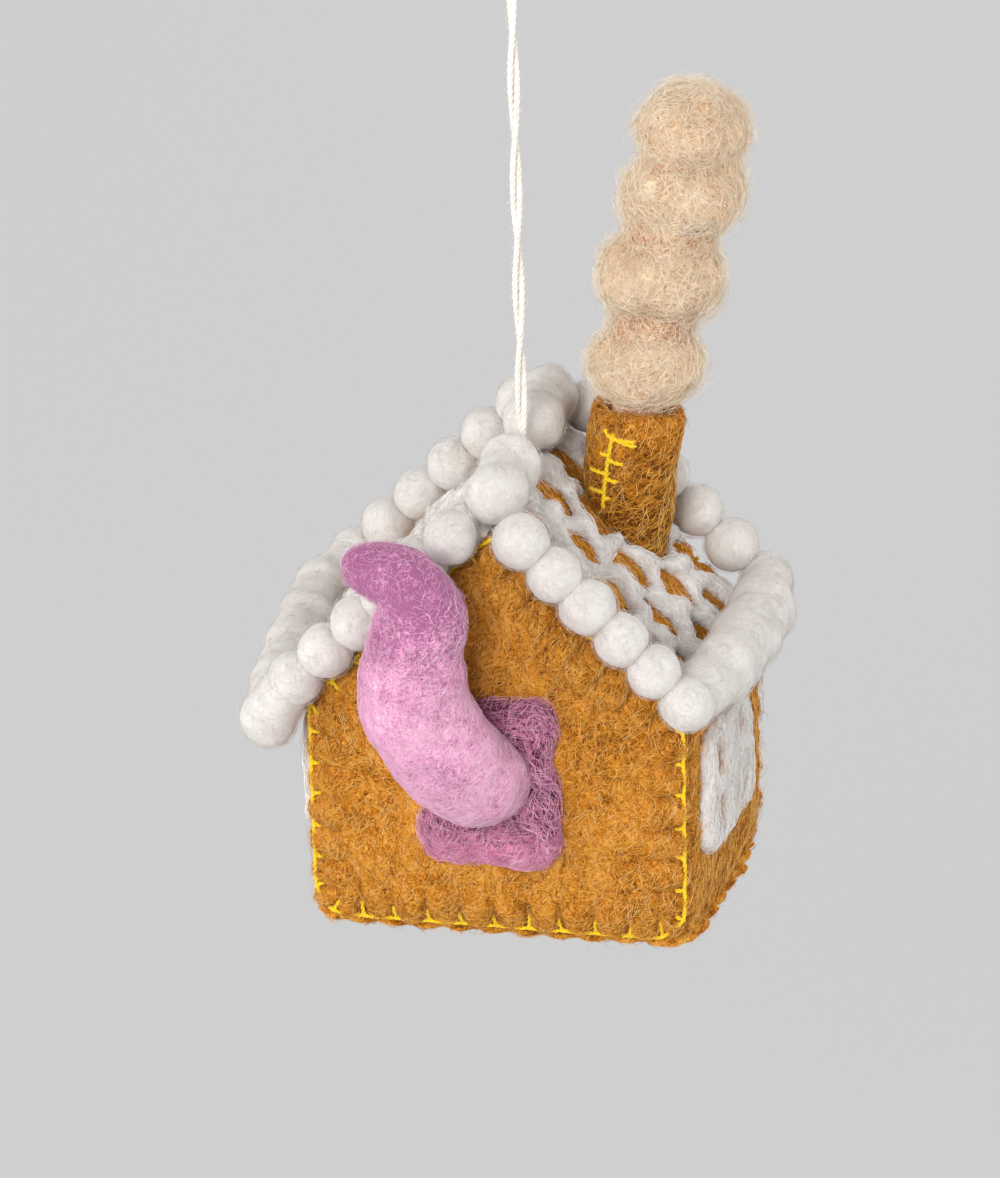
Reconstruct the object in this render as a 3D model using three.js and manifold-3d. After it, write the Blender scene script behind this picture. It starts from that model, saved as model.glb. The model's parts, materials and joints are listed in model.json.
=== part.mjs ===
// Felt gingerbread-house ornament on a loop of string. Millimetres, +Z up, the front faces -Y.
// The origin is the inside of the loop's top, where a hook takes it. The house hangs below.
import * as THREE from 'three';
import Module from 'manifold-3d';

const wasm = await Module();
wasm.setup();

// Felt house: every sheet has one thickness, and every two pieces that touch keep one clearance.
const FELT = 3;
const GAP = 0.3;
const FRONT_WIDTH = 71;
const DEPTH = 54;
const EAVE_HEIGHT = 42.5;
const PITCH_DEGREES = 44.5;
// The ridge climbs this much towards the back, so the level eaves spread outwards there.
const RIDGE_RISE = 4;
// Rounded lower corners of the walls and floor.
const CORNER = 6;
// Stuffing swells each wall outwards by this much at its middle.
const FRONT_SWELL = 3.5;
const BACK_SWELL = 3;
const SIDE_SWELL = 1.6;
const EAVE_OVERHANG = 1.5;
// Slack between the stuffing and the felt around it.
const SLACK = 0.8;

// White wool laid over the felt: a net on the roof and a four-paned window on each side wall.
const ICING = 2;
const NET_STEP_DOWN = 9.8;
const NET_STEP_ALONG = 13.4;
const NET_HOLE_LENGTH = 9.4;
const NET_HOLE_WIDTH = 8;
const WINDOW_WIDTH = 31;
const WINDOW_HEIGHT = 24;
const WINDOW_SILL = 17;
const WINDOW_Y = -5;
const PANE_WIDTH = 5.4;
const PANE_HEIGHT = 6.6;

// Felt balls along the rakes, the eaves and the ridge.
const RAKE_BALL = 10;
const RAKE_BALLS = 6;
const FIRST_RAKE_BALL = 6.5;
const LAST_RAKE_BALL = FRONT_WIDTH / 2 + 1.1;
const LEFT_EAVE_BALL = 11;
const LEFT_EAVE_BALLS = 5;
const RIGHT_EAVE_BALL = 13;
const RIGHT_EAVE_BALLS = 3;
const RIDGE_BALL = 11.5;
// The ridge balls are sewn down until they straddle the ridge by this much.
const RIDGE_SINK = 1.6;

// Rolled felt chimney with a plume of wool smoke.
const CHIMNEY = 17;
const CHIMNEY_X = 15.8;
const CHIMNEY_LENGTH = 22.5;
const CHIMNEY_LEAN_DEGREES = 8;
// Each lump of smoke is a little more than this in radius.
const SMOKE = 10;
const SMOKE_ROOT = 9;
const SMOKE_SQUASH = 0.76;

// Needle-felted door patch and the tentacle that reaches out of it.
const PATCH_WIDTH = 27;
const PATCH_HEIGHT = 34;
const PATCH_X = -0.2;
const PATCH_Z = 35;
const PATCH = 2.6;
// The tentacle is about this in radius where it is thickest.
const ARM = 10;

// Blanket stitch.
const THREAD = 0.8;
const STITCH_LEG = 3;
const STITCH_STEP = 6.3;

// String hanger: two strands twisted together, closed by a bight at the top.
const STRING = 1.1;
const STRAND_GAP = 0.16;
const LOOP_HEIGHT = 110;
const BIGHT = 18;
const BIGHT_WIDTH = 7;
const TWISTS = 2.5;
const KNOT = 5.4;
const ROCK_DEGREES = 30;
const NOD_DEGREES = 12;

const rad = THREE.MathUtils.degToRad;
const lerp = THREE.MathUtils.lerp;
const clamp = THREE.MathUtils.clamp;
const vec = (x, y, z) => new THREE.Vector3(x, y, z);

const TAN = Math.tan(rad(PITCH_DEGREES));
const SIN = Math.sin(rad(PITCH_DEGREES));
const COS = Math.cos(rad(PITCH_DEGREES));
const FRONT_Y = -DEPTH / 2;
const BACK_Y = DEPTH / 2;
const WALL_BASE = FELT + GAP;

const FINISH = {
  felt: { color: 0xc07a1e, roughness: 0.95, metalness: 0 },
  ball: { color: 0xf1eeea, roughness: 0.95, metalness: 0 },
  icing: { color: 0xe6dcd8, roughness: 0.95, metalness: 0 },
  mauve: { color: 0xc98cc0, roughness: 0.95, metalness: 0 },
  plum: { color: 0xb0629a, roughness: 0.95, metalness: 0 },
  smoke: { color: 0xead2ae, roughness: 0.95, metalness: 0 },
  thread: { color: 0xf2c81e, roughness: 0.7, metalness: 0 },
  string: { color: 0xefe6da, roughness: 0.85, metalness: 0 },
  stuffing: { color: 0xf4f2ee, roughness: 1, metalness: 0 },
};

const house = new THREE.Group();
function piece(name, geometry, finish) {
  const mesh = new THREE.Mesh(geometry, new THREE.MeshStandardMaterial(finish));
  mesh.name = name;
  house.add(mesh);
  return mesh;
}

// A piece of the right half, used again on the left.
function mirrored(name, geometry, finish) {
  piece(name, geometry, finish).scale.x = -1;
}

// Shape of the house. The outer half width grows towards the back, and all heights follow the roof slope.
const halfWidth = (y) => FRONT_WIDTH / 2 + (RIDGE_RISE / TAN) * ((y - FRONT_Y) / DEPTH);
const wallTop = (x, y) => EAVE_HEIGHT + (halfWidth(y) - Math.abs(x)) * TAN;
const roofUnder = (x, y) => wallTop(x, y) + GAP / COS;
const roofTop = (x, y) => roofUnder(x, y) + FELT / COS;
const eaveX = (y) => halfWidth(y) + EAVE_OVERHANG;
// The roof panels lie between the gables, whose tops are flush with the roof.
const PANEL_FRONT = FRONT_Y + FELT + GAP;
const PANEL_BACK = BACK_Y - FELT - GAP;

// Pillow profile, flat in the middle and falling to nothing at both ends of 0 to 1.
const pillow = (f) => 1 - (2 * clamp(f, 0, 1) - 1) ** 4;
function gableSwell(x, z, y) {
  const across = pillow((x / halfWidth(y) + 1) / 2);
  const up = pillow((z - WALL_BASE) / (roofTop(x, y) - WALL_BASE));
  return (y < 0 ? FRONT_SWELL : BACK_SWELL) * across * up;
}
const frontFace = (x, z) => FRONT_Y - gableSwell(x, z, FRONT_Y);
const SIDE_FRONT = FRONT_Y + FELT + GAP;
const SIDE_BACK = BACK_Y - FELT - GAP;
function sideSwell(y, z) {
  const along = pillow((y - SIDE_FRONT) / (SIDE_BACK - SIDE_FRONT));
  return SIDE_SWELL * along * pillow((z - WALL_BASE) / (EAVE_HEIGHT - WALL_BASE));
}

// The skin of a box whose lattice points are bent by a function of three coordinates.
function block(us, vs, ws, at) {
  const ids = new Map();
  const points = [];
  const faces = [];
  const corner = (i, j, k) => {
    const key = [i, j, k].join();
    if (!ids.has(key)) {
      ids.set(key, ids.size);
      points.push(...at(us[i], vs[j], ws[k]));
    }
    return ids.get(key);
  };
  const quad = (a, b, c, d) => faces.push(a, b, c, a, c, d);
  const sheet = (n, m, near, far) => {
    for (let i = 0; i < n; i++) {
      for (let j = 0; j < m; j++) {
        quad(far(i, j), far(i + 1, j), far(i + 1, j + 1), far(i, j + 1));
        quad(near(i, j), near(i, j + 1), near(i + 1, j + 1), near(i + 1, j));
      }
    }
  };
  const [a, b, c] = [us.length - 1, vs.length - 1, ws.length - 1];
  sheet(a, b, (i, j) => corner(i, j, 0), (i, j) => corner(i, j, c));
  sheet(b, c, (j, k) => corner(0, j, k), (j, k) => corner(a, j, k));
  sheet(c, a, (k, i) => corner(i, 0, k), (k, i) => corner(i, b, k));
  const geometry = new THREE.BufferGeometry();
  geometry.setAttribute('position', new THREE.Float32BufferAttribute(points, 3));
  geometry.setIndex(faces);
  return geometry;
}
const steps = (n) => Array.from({ length: n + 1 }, (_, i) => i / n);
const bothSides = (half) => [...half.slice(1).reverse().map((u) => -u), ...half];

// Between three.js geometry and manifold-3d solids, for cuts and joins.
function solid(geometry) {
  const flat = geometry.index ? geometry.toNonIndexed() : geometry;
  const p = flat.getAttribute('position');
  const ids = new Map();
  const points = [];
  const triangles = [];
  for (let i = 0; i < p.count; i++) {
    const at = [p.getX(i), p.getY(i), p.getZ(i)];
    const key = at.map((v) => Math.round(v * 1e4)).join();
    if (!ids.has(key)) {
      ids.set(key, ids.size);
      points.push(...at);
    }
    triangles.push(ids.get(key));
  }
  const kept = [];
  for (let i = 0; i < triangles.length; i += 3) {
    const [a, b, c] = triangles.slice(i, i + 3);
    if (a !== b && b !== c && c !== a) kept.push(a, b, c);
  }
  const data = { numProp: 3, vertProperties: new Float32Array(points), triVerts: new Uint32Array(kept) };
  return new wasm.Manifold(new wasm.Mesh(data));
}
function surface(body) {
  const mesh = body.getMesh();
  const geometry = new THREE.BufferGeometry();
  geometry.setAttribute('position', new THREE.BufferAttribute(mesh.vertProperties, mesh.numProp));
  geometry.setIndex(new THREE.BufferAttribute(mesh.triVerts, 1));
  return geometry;
}
const carve = (geometry, tool) => surface(solid(geometry).subtract(solid(tool)));
const join = (geometry, other) => surface(solid(geometry).add(solid(other)));

// Every corner of a geometry sent through a function.
function bend(geometry, at) {
  const p = geometry.getAttribute('position');
  for (let i = 0; i < p.count; i++) p.setXYZ(i, ...at(p.getX(i), p.getY(i), p.getZ(i)));
  return geometry;
}

// Wool pressed flat where it meets a plane: what lies behind the plane is pushed up to it.
function press(geometry, plane) {
  const point = vec(0, 0, 0);
  return bend(geometry, (x, y, z) => {
    const behind = plane.distanceToPoint(point.set(x, y, z));
    return behind < 0 ? point.addScaledVector(plane.normal, -behind).toArray() : [x, y, z];
  });
}

// A flat plate with holes, as thick as it is told to be.
function plate(outline, holes, thickness) {
  const shape = new THREE.Shape(outline);
  shape.holes = holes.map((h) => new THREE.Path(h));
  return new THREE.ExtrudeGeometry(shape, { depth: thickness, bevelEnabled: false });
}
const flat = (x, y) => new THREE.Vector2(x, y);

// Floor panel, a flat plate with rounded corners. The gables hang in front of and behind its ends.
{
  const outline = [];
  const turn = (x, y, from) => {
    for (const f of steps(4)) {
      const a = from + (f * Math.PI) / 2;
      outline.push(flat(x + CORNER * Math.cos(a), y + CORNER * Math.sin(a)));
    }
  };
  const front = halfWidth(FRONT_Y) - CORNER;
  const back = halfWidth(BACK_Y) - CORNER;
  const end = DEPTH / 2 - FELT - CORNER;
  turn(back, end, 0);
  turn(-back, end, Math.PI / 2);
  turn(-front, -end, Math.PI);
  turn(front, -end, 1.5 * Math.PI);
  piece('floor_panel', plate(outline, [], FELT), FINISH.felt);
}

// Gable walls, with rounded lower corners and a swollen middle.
const GABLE_COLUMNS = bothSides([0, 0.2, 0.4, 0.6, 0.75, 0.86, 0.94, 0.98, 1]);
function gableBase(x, half) {
  const past = Math.max(0, Math.abs(x) - (half - CORNER));
  return WALL_BASE + CORNER - Math.sqrt(Math.max(0, CORNER * CORNER - past * past));
}
function gable(outerY) {
  const half = halfWidth(outerY);
  const inward = outerY < 0 ? 1 : -1;
  return block(GABLE_COLUMNS, [0, 1], steps(7), (u, t, v) => {
    const x = u * half;
    const base = gableBase(x, half);
    const z = lerp(base, roofTop(x, outerY), v);
    const near = outerY < 0 ? t : 1 - t;
    return [x, outerY + inward * (FELT * near - gableSwell(x, z, outerY)), z];
  });
}
piece('front_wall', gable(FRONT_Y), FINISH.felt);
piece('back_wall', gable(BACK_Y), FINISH.felt);

// Side walls, standing on the floor between the gables.
const sideWall = block([0, 1], steps(8), steps(6), (t, s, v) => {
  const y = lerp(SIDE_FRONT, SIDE_BACK, s);
  const x = halfWidth(y) - FELT * (1 - t);
  const z = lerp(WALL_BASE, wallTop(x, y), v);
  return [x + sideSwell(y, z), y, z];
});
piece('right_wall', sideWall, FINISH.felt);
mirrored('left_wall', sideWall, FINISH.felt);

// Hanger position: it leaves the ridge between the two middle ridge balls and turns about one point in the felt.
const CORD_Y = 1;
const PIVOT_Z = roofTop(0, CORD_Y) - FELT / COS / 2;
const PAIR = STRING + STRAND_GAP / 2;
const hole = (degrees) => PAIR / Math.cos(rad(degrees)) + (FELT / COS / 2) * Math.tan(rad(degrees)) + 2 * GAP;
const slot = new THREE.CylinderGeometry(1, 1, 6 * FELT, 16).rotateX(Math.PI / 2);
slot.scale(hole(ROCK_DEGREES), hole(NOD_DEGREES), 1).translate(0, CORD_Y, PIVOT_Z);

// Roof panels, mitred at the ridge.
const roofPanel = block([0, 1], [0, 1], [0, 1], (u, s, v) => {
  const y = lerp(PANEL_FRONT, PANEL_BACK, s);
  const x = lerp(GAP / 2, eaveX(y), u);
  return [x, y, lerp(roofUnder(x, y), roofTop(x, y), v)];
});
const roofWithSlot = carve(roofPanel, slot);
piece('right_roof', roofWithSlot, FINISH.felt);
mirrored('left_roof', roofWithSlot, FINISH.felt);

// Knot inside the ridge, and the stuffing with a pocket for it.
const KNOT_Z = roofUnder(0, CORD_Y) - (KNOT / 2 + 1.5 * GAP) / COS;
const stuffingBody = block(GABLE_COLUMNS, steps(6), steps(6), (u, t, v) => {
  const y = lerp(FRONT_Y + FELT + SLACK, BACK_Y - FELT - SLACK, t);
  const half = halfWidth(y) - FELT - SLACK;
  const x = u * half;
  const base = FELT + SLACK;
  const z = lerp(base, wallTop(x, y) - SLACK, v);
  const push = t < 0.5 ? -gableSwell(x, z, FRONT_Y) * (1 - 2 * t) : gableSwell(x, z, BACK_Y) * (2 * t - 1);
  return [x + u * sideSwell(y, z), y + push, z];
});
const pocket = new THREE.CylinderGeometry(KNOT / 2 + 2, KNOT / 2 + 2, KNOT * 3, 12).rotateX(Math.PI / 2);
pocket.translate(0, CORD_Y, KNOT_Z + KNOT * 0.7);
piece('stuffing', carve(stuffingBody, pocket), FINISH.stuffing);

// Roof frame: down the slope, along the ridge and out of the roof.
const RIDGE_SLOPE = RIDGE_RISE / DEPTH;
const along = vec(0, 1, RIDGE_SLOPE).normalize();
const out = vec(TAN, -RIDGE_SLOPE, 1).normalize();
const down = along.clone().cross(out);
const ridge = vec(0, 0, roofTop(0, 0));
const onRoof = (point) => {
  const from = point.clone().sub(ridge);
  return flat(from.dot(down), from.dot(along));
};
const roofPoint = (x, y) => vec(x, y, roofTop(x, y));

// Ball rows. Each centre stands off the gable's edge by the ball's radius and the clearance.
const rise = vec(SIN, 0, COS);
const fall = vec(COS, 0, -SIN);
const stand = RAKE_BALL / 2 + 1.2 * GAP;
const RAKE_FORWARD = stand * 0.6;
const RAKE_UP = stand * 0.88;
const balls = [];
function ball(name, centre, diameter) {
  balls.push({ name, centre, radius: diameter / 2 });
}
const rakeFoot = (k) => lerp(FIRST_RAKE_BALL, LAST_RAKE_BALL, k / (RAKE_BALLS - 1)) - RAKE_UP * SIN;
for (const side of [-1, 1]) {
  const hand = side < 0 ? 'left' : 'right';
  for (let k = 0; k < RAKE_BALLS; k++) {
    for (const end of [-1, 1]) {
      const edge = end < 0 ? FRONT_Y : BACK_Y;
      const grow = eaveX(edge) / eaveX(FRONT_Y);
      const foot = roofPoint(rakeFoot(k) * (k ? grow : 1), edge).addScaledVector(rise, RAKE_UP);
      foot.y += end * RAKE_FORWARD;
      foot.x *= side;
      ball(`${end < 0 ? 'front' : 'back'}_${hand}_rake_ball_${k + 1}`, foot, RAKE_BALL);
    }
  }
}
// The right eave row sits up on the slope. The left one starts below the edge at the front and climbs onto it.
const REACH = DEPTH / 2 + RAKE_FORWARD;
function eaveSeat(size, degrees) {
  const lift = size / 2 + 1.2 * GAP;
  const tilt = rad(degrees);
  return { rise: tilt < 0 ? lift : lift * Math.cos(tilt), fall: lift * Math.sin(tilt) };
}
function eaveBall(name, side, y, size, degrees) {
  const seat = eaveSeat(size, degrees);
  const centre = roofPoint(eaveX(y), y).addScaledVector(rise, seat.rise).addScaledVector(fall, seat.fall);
  centre.x *= side;
  ball(name, centre, size);
}
const LEFT_SEAT = [62, -10];
const RIGHT_SEAT = -30;
for (let k = 0; k < LEFT_EAVE_BALLS; k++) {
  const y = lerp(-REACH + 5 * GAP, REACH, k / LEFT_EAVE_BALLS);
  eaveBall(`left_eave_ball_${k + 1}`, -1, y, LEFT_EAVE_BALL, lerp(...LEFT_SEAT, k / (LEFT_EAVE_BALLS - 1)));
}
for (let k = 0; k < RIGHT_EAVE_BALLS; k++) {
  const y = lerp(-REACH, REACH, (k + 1) / (RIGHT_EAVE_BALLS + 1));
  eaveBall(`right_eave_ball_${k + 1}`, 1, y, RIGHT_EAVE_BALL, RIGHT_SEAT);
}
const RIDGE_LIFT = RIDGE_BALL / 2 - RIDGE_SINK;
const cordRoom = RIDGE_BALL / 2 + PAIR + 3;
[-cordRoom - RIDGE_BALL, -cordRoom, cordRoom, cordRoom + RIDGE_BALL].forEach((y, k) => {
  const at = CORD_Y + y;
  ball(`ridge_ball_${k + 1}`, vec(0, at, roofTop(0, at) + RIDGE_LIFT), RIDGE_BALL);
});

// Neighbouring balls are pressed flat against each other.
const roofSkin = [1, -1].map((side) => {
  const normal = vec(side * out.x, out.y, out.z);
  return new THREE.Plane().setFromNormalAndCoplanarPoint(normal, ridge.clone().addScaledVector(normal, GAP));
});
for (const { name, centre, radius } of balls) {
  const geometry = new THREE.IcosahedronGeometry(radius, 2).translate(centre.x, centre.y, centre.z);
  for (const other of balls) {
    const toward = other.centre.clone().sub(centre);
    const d = toward.length();
    if (other.name === name || d > radius + other.radius + GAP) continue;
    toward.normalize();
    const reach = (d * d + radius * radius - other.radius * other.radius) / (2 * d) - GAP / 2;
    const face = centre.clone().addScaledVector(toward, reach);
    press(geometry, new THREE.Plane().setFromNormalAndCoplanarPoint(toward.negate(), face));
  }
  if (name.startsWith('ridge')) roofSkin.forEach((skin) => press(geometry, skin));
  piece(name, geometry, FINISH.ball);
}

// Chimney: a rolled tube that leans to the right and is cut to the slope at its foot.
const lean = rad(CHIMNEY_LEAN_DEGREES);
const CHIMNEY_Y = BACK_Y + RAKE_FORWARD - RAKE_BALL / 2 - CHIMNEY / 2 - 2 * GAP;
const shaft = vec(Math.sin(lean), 0, Math.cos(lean));
const acrossShaft = vec(Math.cos(lean), 0, -Math.sin(lean));
const chimneyFoot = roofPoint(CHIMNEY_X, CHIMNEY_Y);
const BORE = CHIMNEY - 2 * FELT;
function onChimney(radius, angle, height) {
  const at = chimneyFoot.clone().addScaledVector(acrossShaft, radius * Math.cos(angle));
  at.y += radius * Math.sin(angle);
  return at.addScaledVector(shaft, height);
}
const slopeHeight = (p) => roofTop(Math.abs(p.x), p.y) - p.z;
function footHeight(radius, angle) {
  const below = slopeHeight(onChimney(radius, angle, 0)) + GAP / COS;
  return below / (shaft.z + TAN * shaft.x);
}
const ROUND = 0.7;
const tubeProfile = (angle) => {
  const outer = CHIMNEY / 2;
  const inner = BORE / 2;
  const low = footHeight(outer, angle);
  const lowInner = footHeight(inner, angle);
  return [
    onChimney(inner, angle, lowInner),
    onChimney(outer - ROUND, angle, footHeight(outer - ROUND, angle)),
    onChimney(outer - ROUND * 0.6, angle, low + 2 * ROUND),
    onChimney(outer, angle, lerp(low, CHIMNEY_LENGTH, 0.7)),
    onChimney(outer, angle, CHIMNEY_LENGTH - ROUND),
    onChimney(outer - ROUND, angle, CHIMNEY_LENGTH),
    onChimney(inner, angle, CHIMNEY_LENGTH),
  ];
};
{
  const sides = 24;
  const points = [];
  const faces = [];
  for (let i = 0; i < sides; i++) points.push(...tubeProfile((i / sides) * 2 * Math.PI));
  const n = points.length / sides;
  for (let i = 0; i < sides; i++) {
    for (let j = 0; j < n; j++) {
      const a = i * n + j;
      const b = i * n + ((j + 1) % n);
      const c = ((i + 1) % sides) * n + ((j + 1) % n);
      const d = ((i + 1) % sides) * n + j;
      faces.push(a, d, c, a, c, b);
    }
  }
  const geometry = new THREE.BufferGeometry().setFromPoints(points);
  geometry.setIndex(faces);
  piece('chimney_tube', geometry, FINISH.felt);
}

// Yellow seam on the chimney: one upright thread with legs to both sides.
{
  const half = THREAD / 2;
  const angle = rad(-111);
  const low = footHeight(CHIMNEY / 2, angle) + 3;
  const high = CHIMNEY_LENGTH - 4;
  const legs = 4;
  const right = [];
  const left = [];
  for (let k = 0; k < legs; k++) {
    const h = lerp(low + THREAD, high - THREAD, k / (legs - 1));
    const reach = k === legs - 1 ? 1.5 * STITCH_LEG : STITCH_LEG * (0.6 + 0.25 * (k % 2));
    right.push(flat(half, h - half), flat(reach, h - half + 0.6), flat(reach, h + half + 0.6), flat(half, h + half));
    const shift = h - 1.4 * THREAD;
    if (k) {
      left.unshift(flat(-half, shift - half));
      left.unshift(flat(-reach, shift - half + 0.6));
      left.unshift(flat(-reach, shift + half + 0.6));
      left.unshift(flat(-half, shift + half));
    }
  }
  const outline = [flat(-half, low), flat(half, low), ...right, flat(half, high), flat(-half, high), ...left];
  const seam = plate(outline, [], THREAD);
  const r = CHIMNEY / 2 + GAP;
  bend(seam, (a, h, d) => onChimney(r + d, angle + a / r, h).toArray());
  piece('chimney_seam', seam, FINISH.thread);
}

// Smoke: four lumps of wool pressed together, placed and sized as multiples of one lump's measure.
const chimneyTop = onChimney(0, 0, CHIMNEY_LENGTH);
const puffs = [
  { aside: 0.13, up: 1, size: 1.14 },
  { aside: 0.44, up: 2.66, size: 1.24 },
  { aside: 0.89, up: 4.3, size: 1.19 },
  { aside: 1.1, up: 5.56, size: 1.08 },
].map(({ aside, up, size }) => ({
  centre: chimneyTop.clone().add(vec(aside, 0, up).multiplyScalar(SMOKE)),
  radius: size * SMOKE,
}));
puffs.forEach(({ centre, radius }, k) => {
  let geometry = new THREE.IcosahedronGeometry(radius, 4).scale(1, 1, SMOKE_SQUASH);
  geometry.rotateY(lean).translate(centre.x, centre.y, centre.z);
  for (const other of [puffs[k - 1], puffs[k + 1]]) {
    if (!other) continue;
    const toward = other.centre.clone().sub(centre);
    const reach = (toward.length() * radius) / (radius + other.radius) - GAP / 2;
    toward.normalize();
    const face = centre.clone().addScaledVector(toward, reach);
    press(geometry, new THREE.Plane().setFromNormalAndCoplanarPoint(toward.negate(), face));
  }
  if (k === 0) {
    const rim = chimneyTop.clone().addScaledVector(shaft, GAP);
    press(geometry, new THREE.Plane().setFromNormalAndCoplanarPoint(shaft, rim));
    const root = new THREE.CylinderGeometry(BORE / 2 - GAP, BORE / 2 - GAP - 1, SMOKE_ROOT + radius / 2, 16);
    root.rotateX(Math.PI / 2).translate(0, 0, radius / 4 - SMOKE_ROOT / 2).rotateY(lean);
    root.translate(chimneyTop.x, chimneyTop.y, chimneyTop.z);
    geometry = join(geometry, root);
  }
  piece(`smoke_puff_${k + 1}`, geometry, FINISH.smoke);
});

// Wool net on the roof: staggered long holes between strands that run down the slope.
function netHole(s, t) {
  return steps(9).slice(0, 9).map((f) => {
    const a = f * 2 * Math.PI;
    return flat(s + (NET_HOLE_LENGTH / 2) * Math.cos(a), t + (NET_HOLE_WIDTH / 2) * Math.sin(a));
  });
}
function roofNet(withChimney) {
  const ballRoom = RAKE_BALL / 2 + 2 * GAP;
  const lap = Math.sqrt(ballRoom ** 2 - Math.min(ballRoom, RAKE_UP - GAP - ICING) ** 2) - RAKE_FORWARD;
  const [size, degrees] = withChimney ? [RIGHT_EAVE_BALL, RIGHT_SEAT] : [LEFT_EAVE_BALL, LEFT_SEAT[1]];
  const seat = eaveSeat(size, degrees);
  const eaveRoom = size / 2 + 2 * GAP;
  const eaveLap = Math.sqrt(eaveRoom ** 2 - Math.min(eaveRoom, seat.rise - GAP - ICING) ** 2) - seat.fall;
  const top = RIDGE_BALL / 2 + 3 * GAP - RIDGE_LIFT * SIN + 1.2;
  const rim = (y) => onRoof(roofPoint(eaveX(y), y)).x - eaveLap;
  const edge = (x, y) => onRoof(roofPoint(x, y));
  const [front, back] = [FRONT_Y + lap, BACK_Y - lap];
  const corners = [
    edge(top * COS, front),
    edge(rim(front) * COS, front),
    edge(rim(back) * COS, back),
    edge(top * COS, back),
  ];
  const foot = onRoof(chimneyFoot);
  const wide = CHIMNEY / 2 + 3 * GAP;
  const long = wide / COS + ICING * TAN;
  const base = flat(foot.x + ICING * (Math.tan(lean) - TAN) * 0.5 - GAP, foot.y);
  const holes = [];
  const rows = Math.floor((rim(back) - top) / NET_STEP_DOWN);
  for (let i = 0; i <= rows; i++) {
    for (let j = -3; j <= 3; j++) {
      const s = top + NET_HOLE_LENGTH / 2 + 1 + NET_STEP_DOWN * i;
      const t = NET_STEP_ALONG * (j + (i % 2 ? 0.5 : 0));
      const inside = s + NET_HOLE_LENGTH / 2 + 1 < rim(t) && s - NET_HOLE_LENGTH / 2 > top + 0.6;
      const between = t - NET_HOLE_WIDTH / 2 > front + 2.4 && t + NET_HOLE_WIDTH / 2 < back - 2.4;
      const far = Math.hypot((s - base.x) / (long + NET_HOLE_LENGTH / 2 + 1), (t - base.y) / (wide + NET_HOLE_WIDTH / 2 + 1));
      if (inside && between && (!withChimney || far > 1)) holes.push(netHole(s, t));
    }
  }
  const net = plate(corners, holes, ICING);
  const place = new THREE.Matrix4().makeBasis(down, along, out);
  place.setPosition(ridge.clone().addScaledVector(out, GAP));
  net.applyMatrix4(place);
  if (!withChimney) return net;
  const cutter = new THREE.CylinderGeometry(wide, wide, 2 * CHIMNEY_LENGTH, 24).rotateX(Math.PI / 2).rotateY(lean);
  return carve(net, cutter.translate(chimneyFoot.x, chimneyFoot.y, chimneyFoot.z));
}
piece('right_roof_icing', roofNet(true), FINISH.icing);
mirrored('left_roof_icing', roofNet(false), FINISH.icing);

// Four-paned wool window on each side wall.
{
  const middle = (SIDE_FRONT + SIDE_BACK) / 2 + WINDOW_Y;
  const soft = (y, z, w, h, n) =>
    steps(n).slice(0, n).map((f) => {
      const [c, s] = [Math.cos((f + 0.5 / n) * 2 * Math.PI), Math.sin((f + 0.5 / n) * 2 * Math.PI)];
      return flat(y + (w / 2) * Math.sign(c) * Math.abs(c) ** 0.4, z + (h / 2) * Math.sign(s) * Math.abs(s) ** 0.4);
    });
  const centreZ = WINDOW_SILL + WINDOW_HEIGHT / 2;
  const outline = soft(middle, centreZ, WINDOW_WIDTH, WINDOW_HEIGHT, 28);
  const panes = [];
  for (const a of [-1, 1]) {
    for (const b of [-1, 1]) {
      const y = middle + (a * WINDOW_WIDTH) / 4.3;
      const z = centreZ + (b * WINDOW_HEIGHT) / 4.3;
      panes.push(soft(y, z, PANE_WIDTH, PANE_HEIGHT, 12));
    }
  }
  const frame = plate(outline, panes, ICING);
  bend(frame, (y, z, d) => [halfWidth(y) + sideSwell(y, z) + 1.6 * GAP + d, y, z]);
  piece('right_window_icing', frame, FINISH.icing);
  mirrored('left_window_icing', frame, FINISH.icing);
}

// Door patch: a pad with a raised rim, lying on the swollen front wall.
const patchSpan = bothSides([0, 0.35, 0.65, 0.82, 0.94, 1]);
const patchThickness = (u, v) => {
  const m = Math.max(Math.abs(u), Math.abs(v));
  return PATCH * (m < 0.9 ? 0.72 + 0.28 * (m / 0.82) ** 4 : 0.55);
};
piece(
  'door_patch',
  block(patchSpan, [0, 1], patchSpan, (u, t, v) => {
    const x = PATCH_X + (u * PATCH_WIDTH * Math.sqrt(1 - 0.12 * v * v)) / 2;
    const z = PATCH_Z + (v * PATCH_HEIGHT * Math.sqrt(1 - 0.08 * u * u)) / 2;
    return [x, frontFace(x, z) - GAP - (1 - t) * Math.min(PATCH * 1.25, patchThickness(u, v)), z];
  }),
  FINISH.plum,
);

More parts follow.
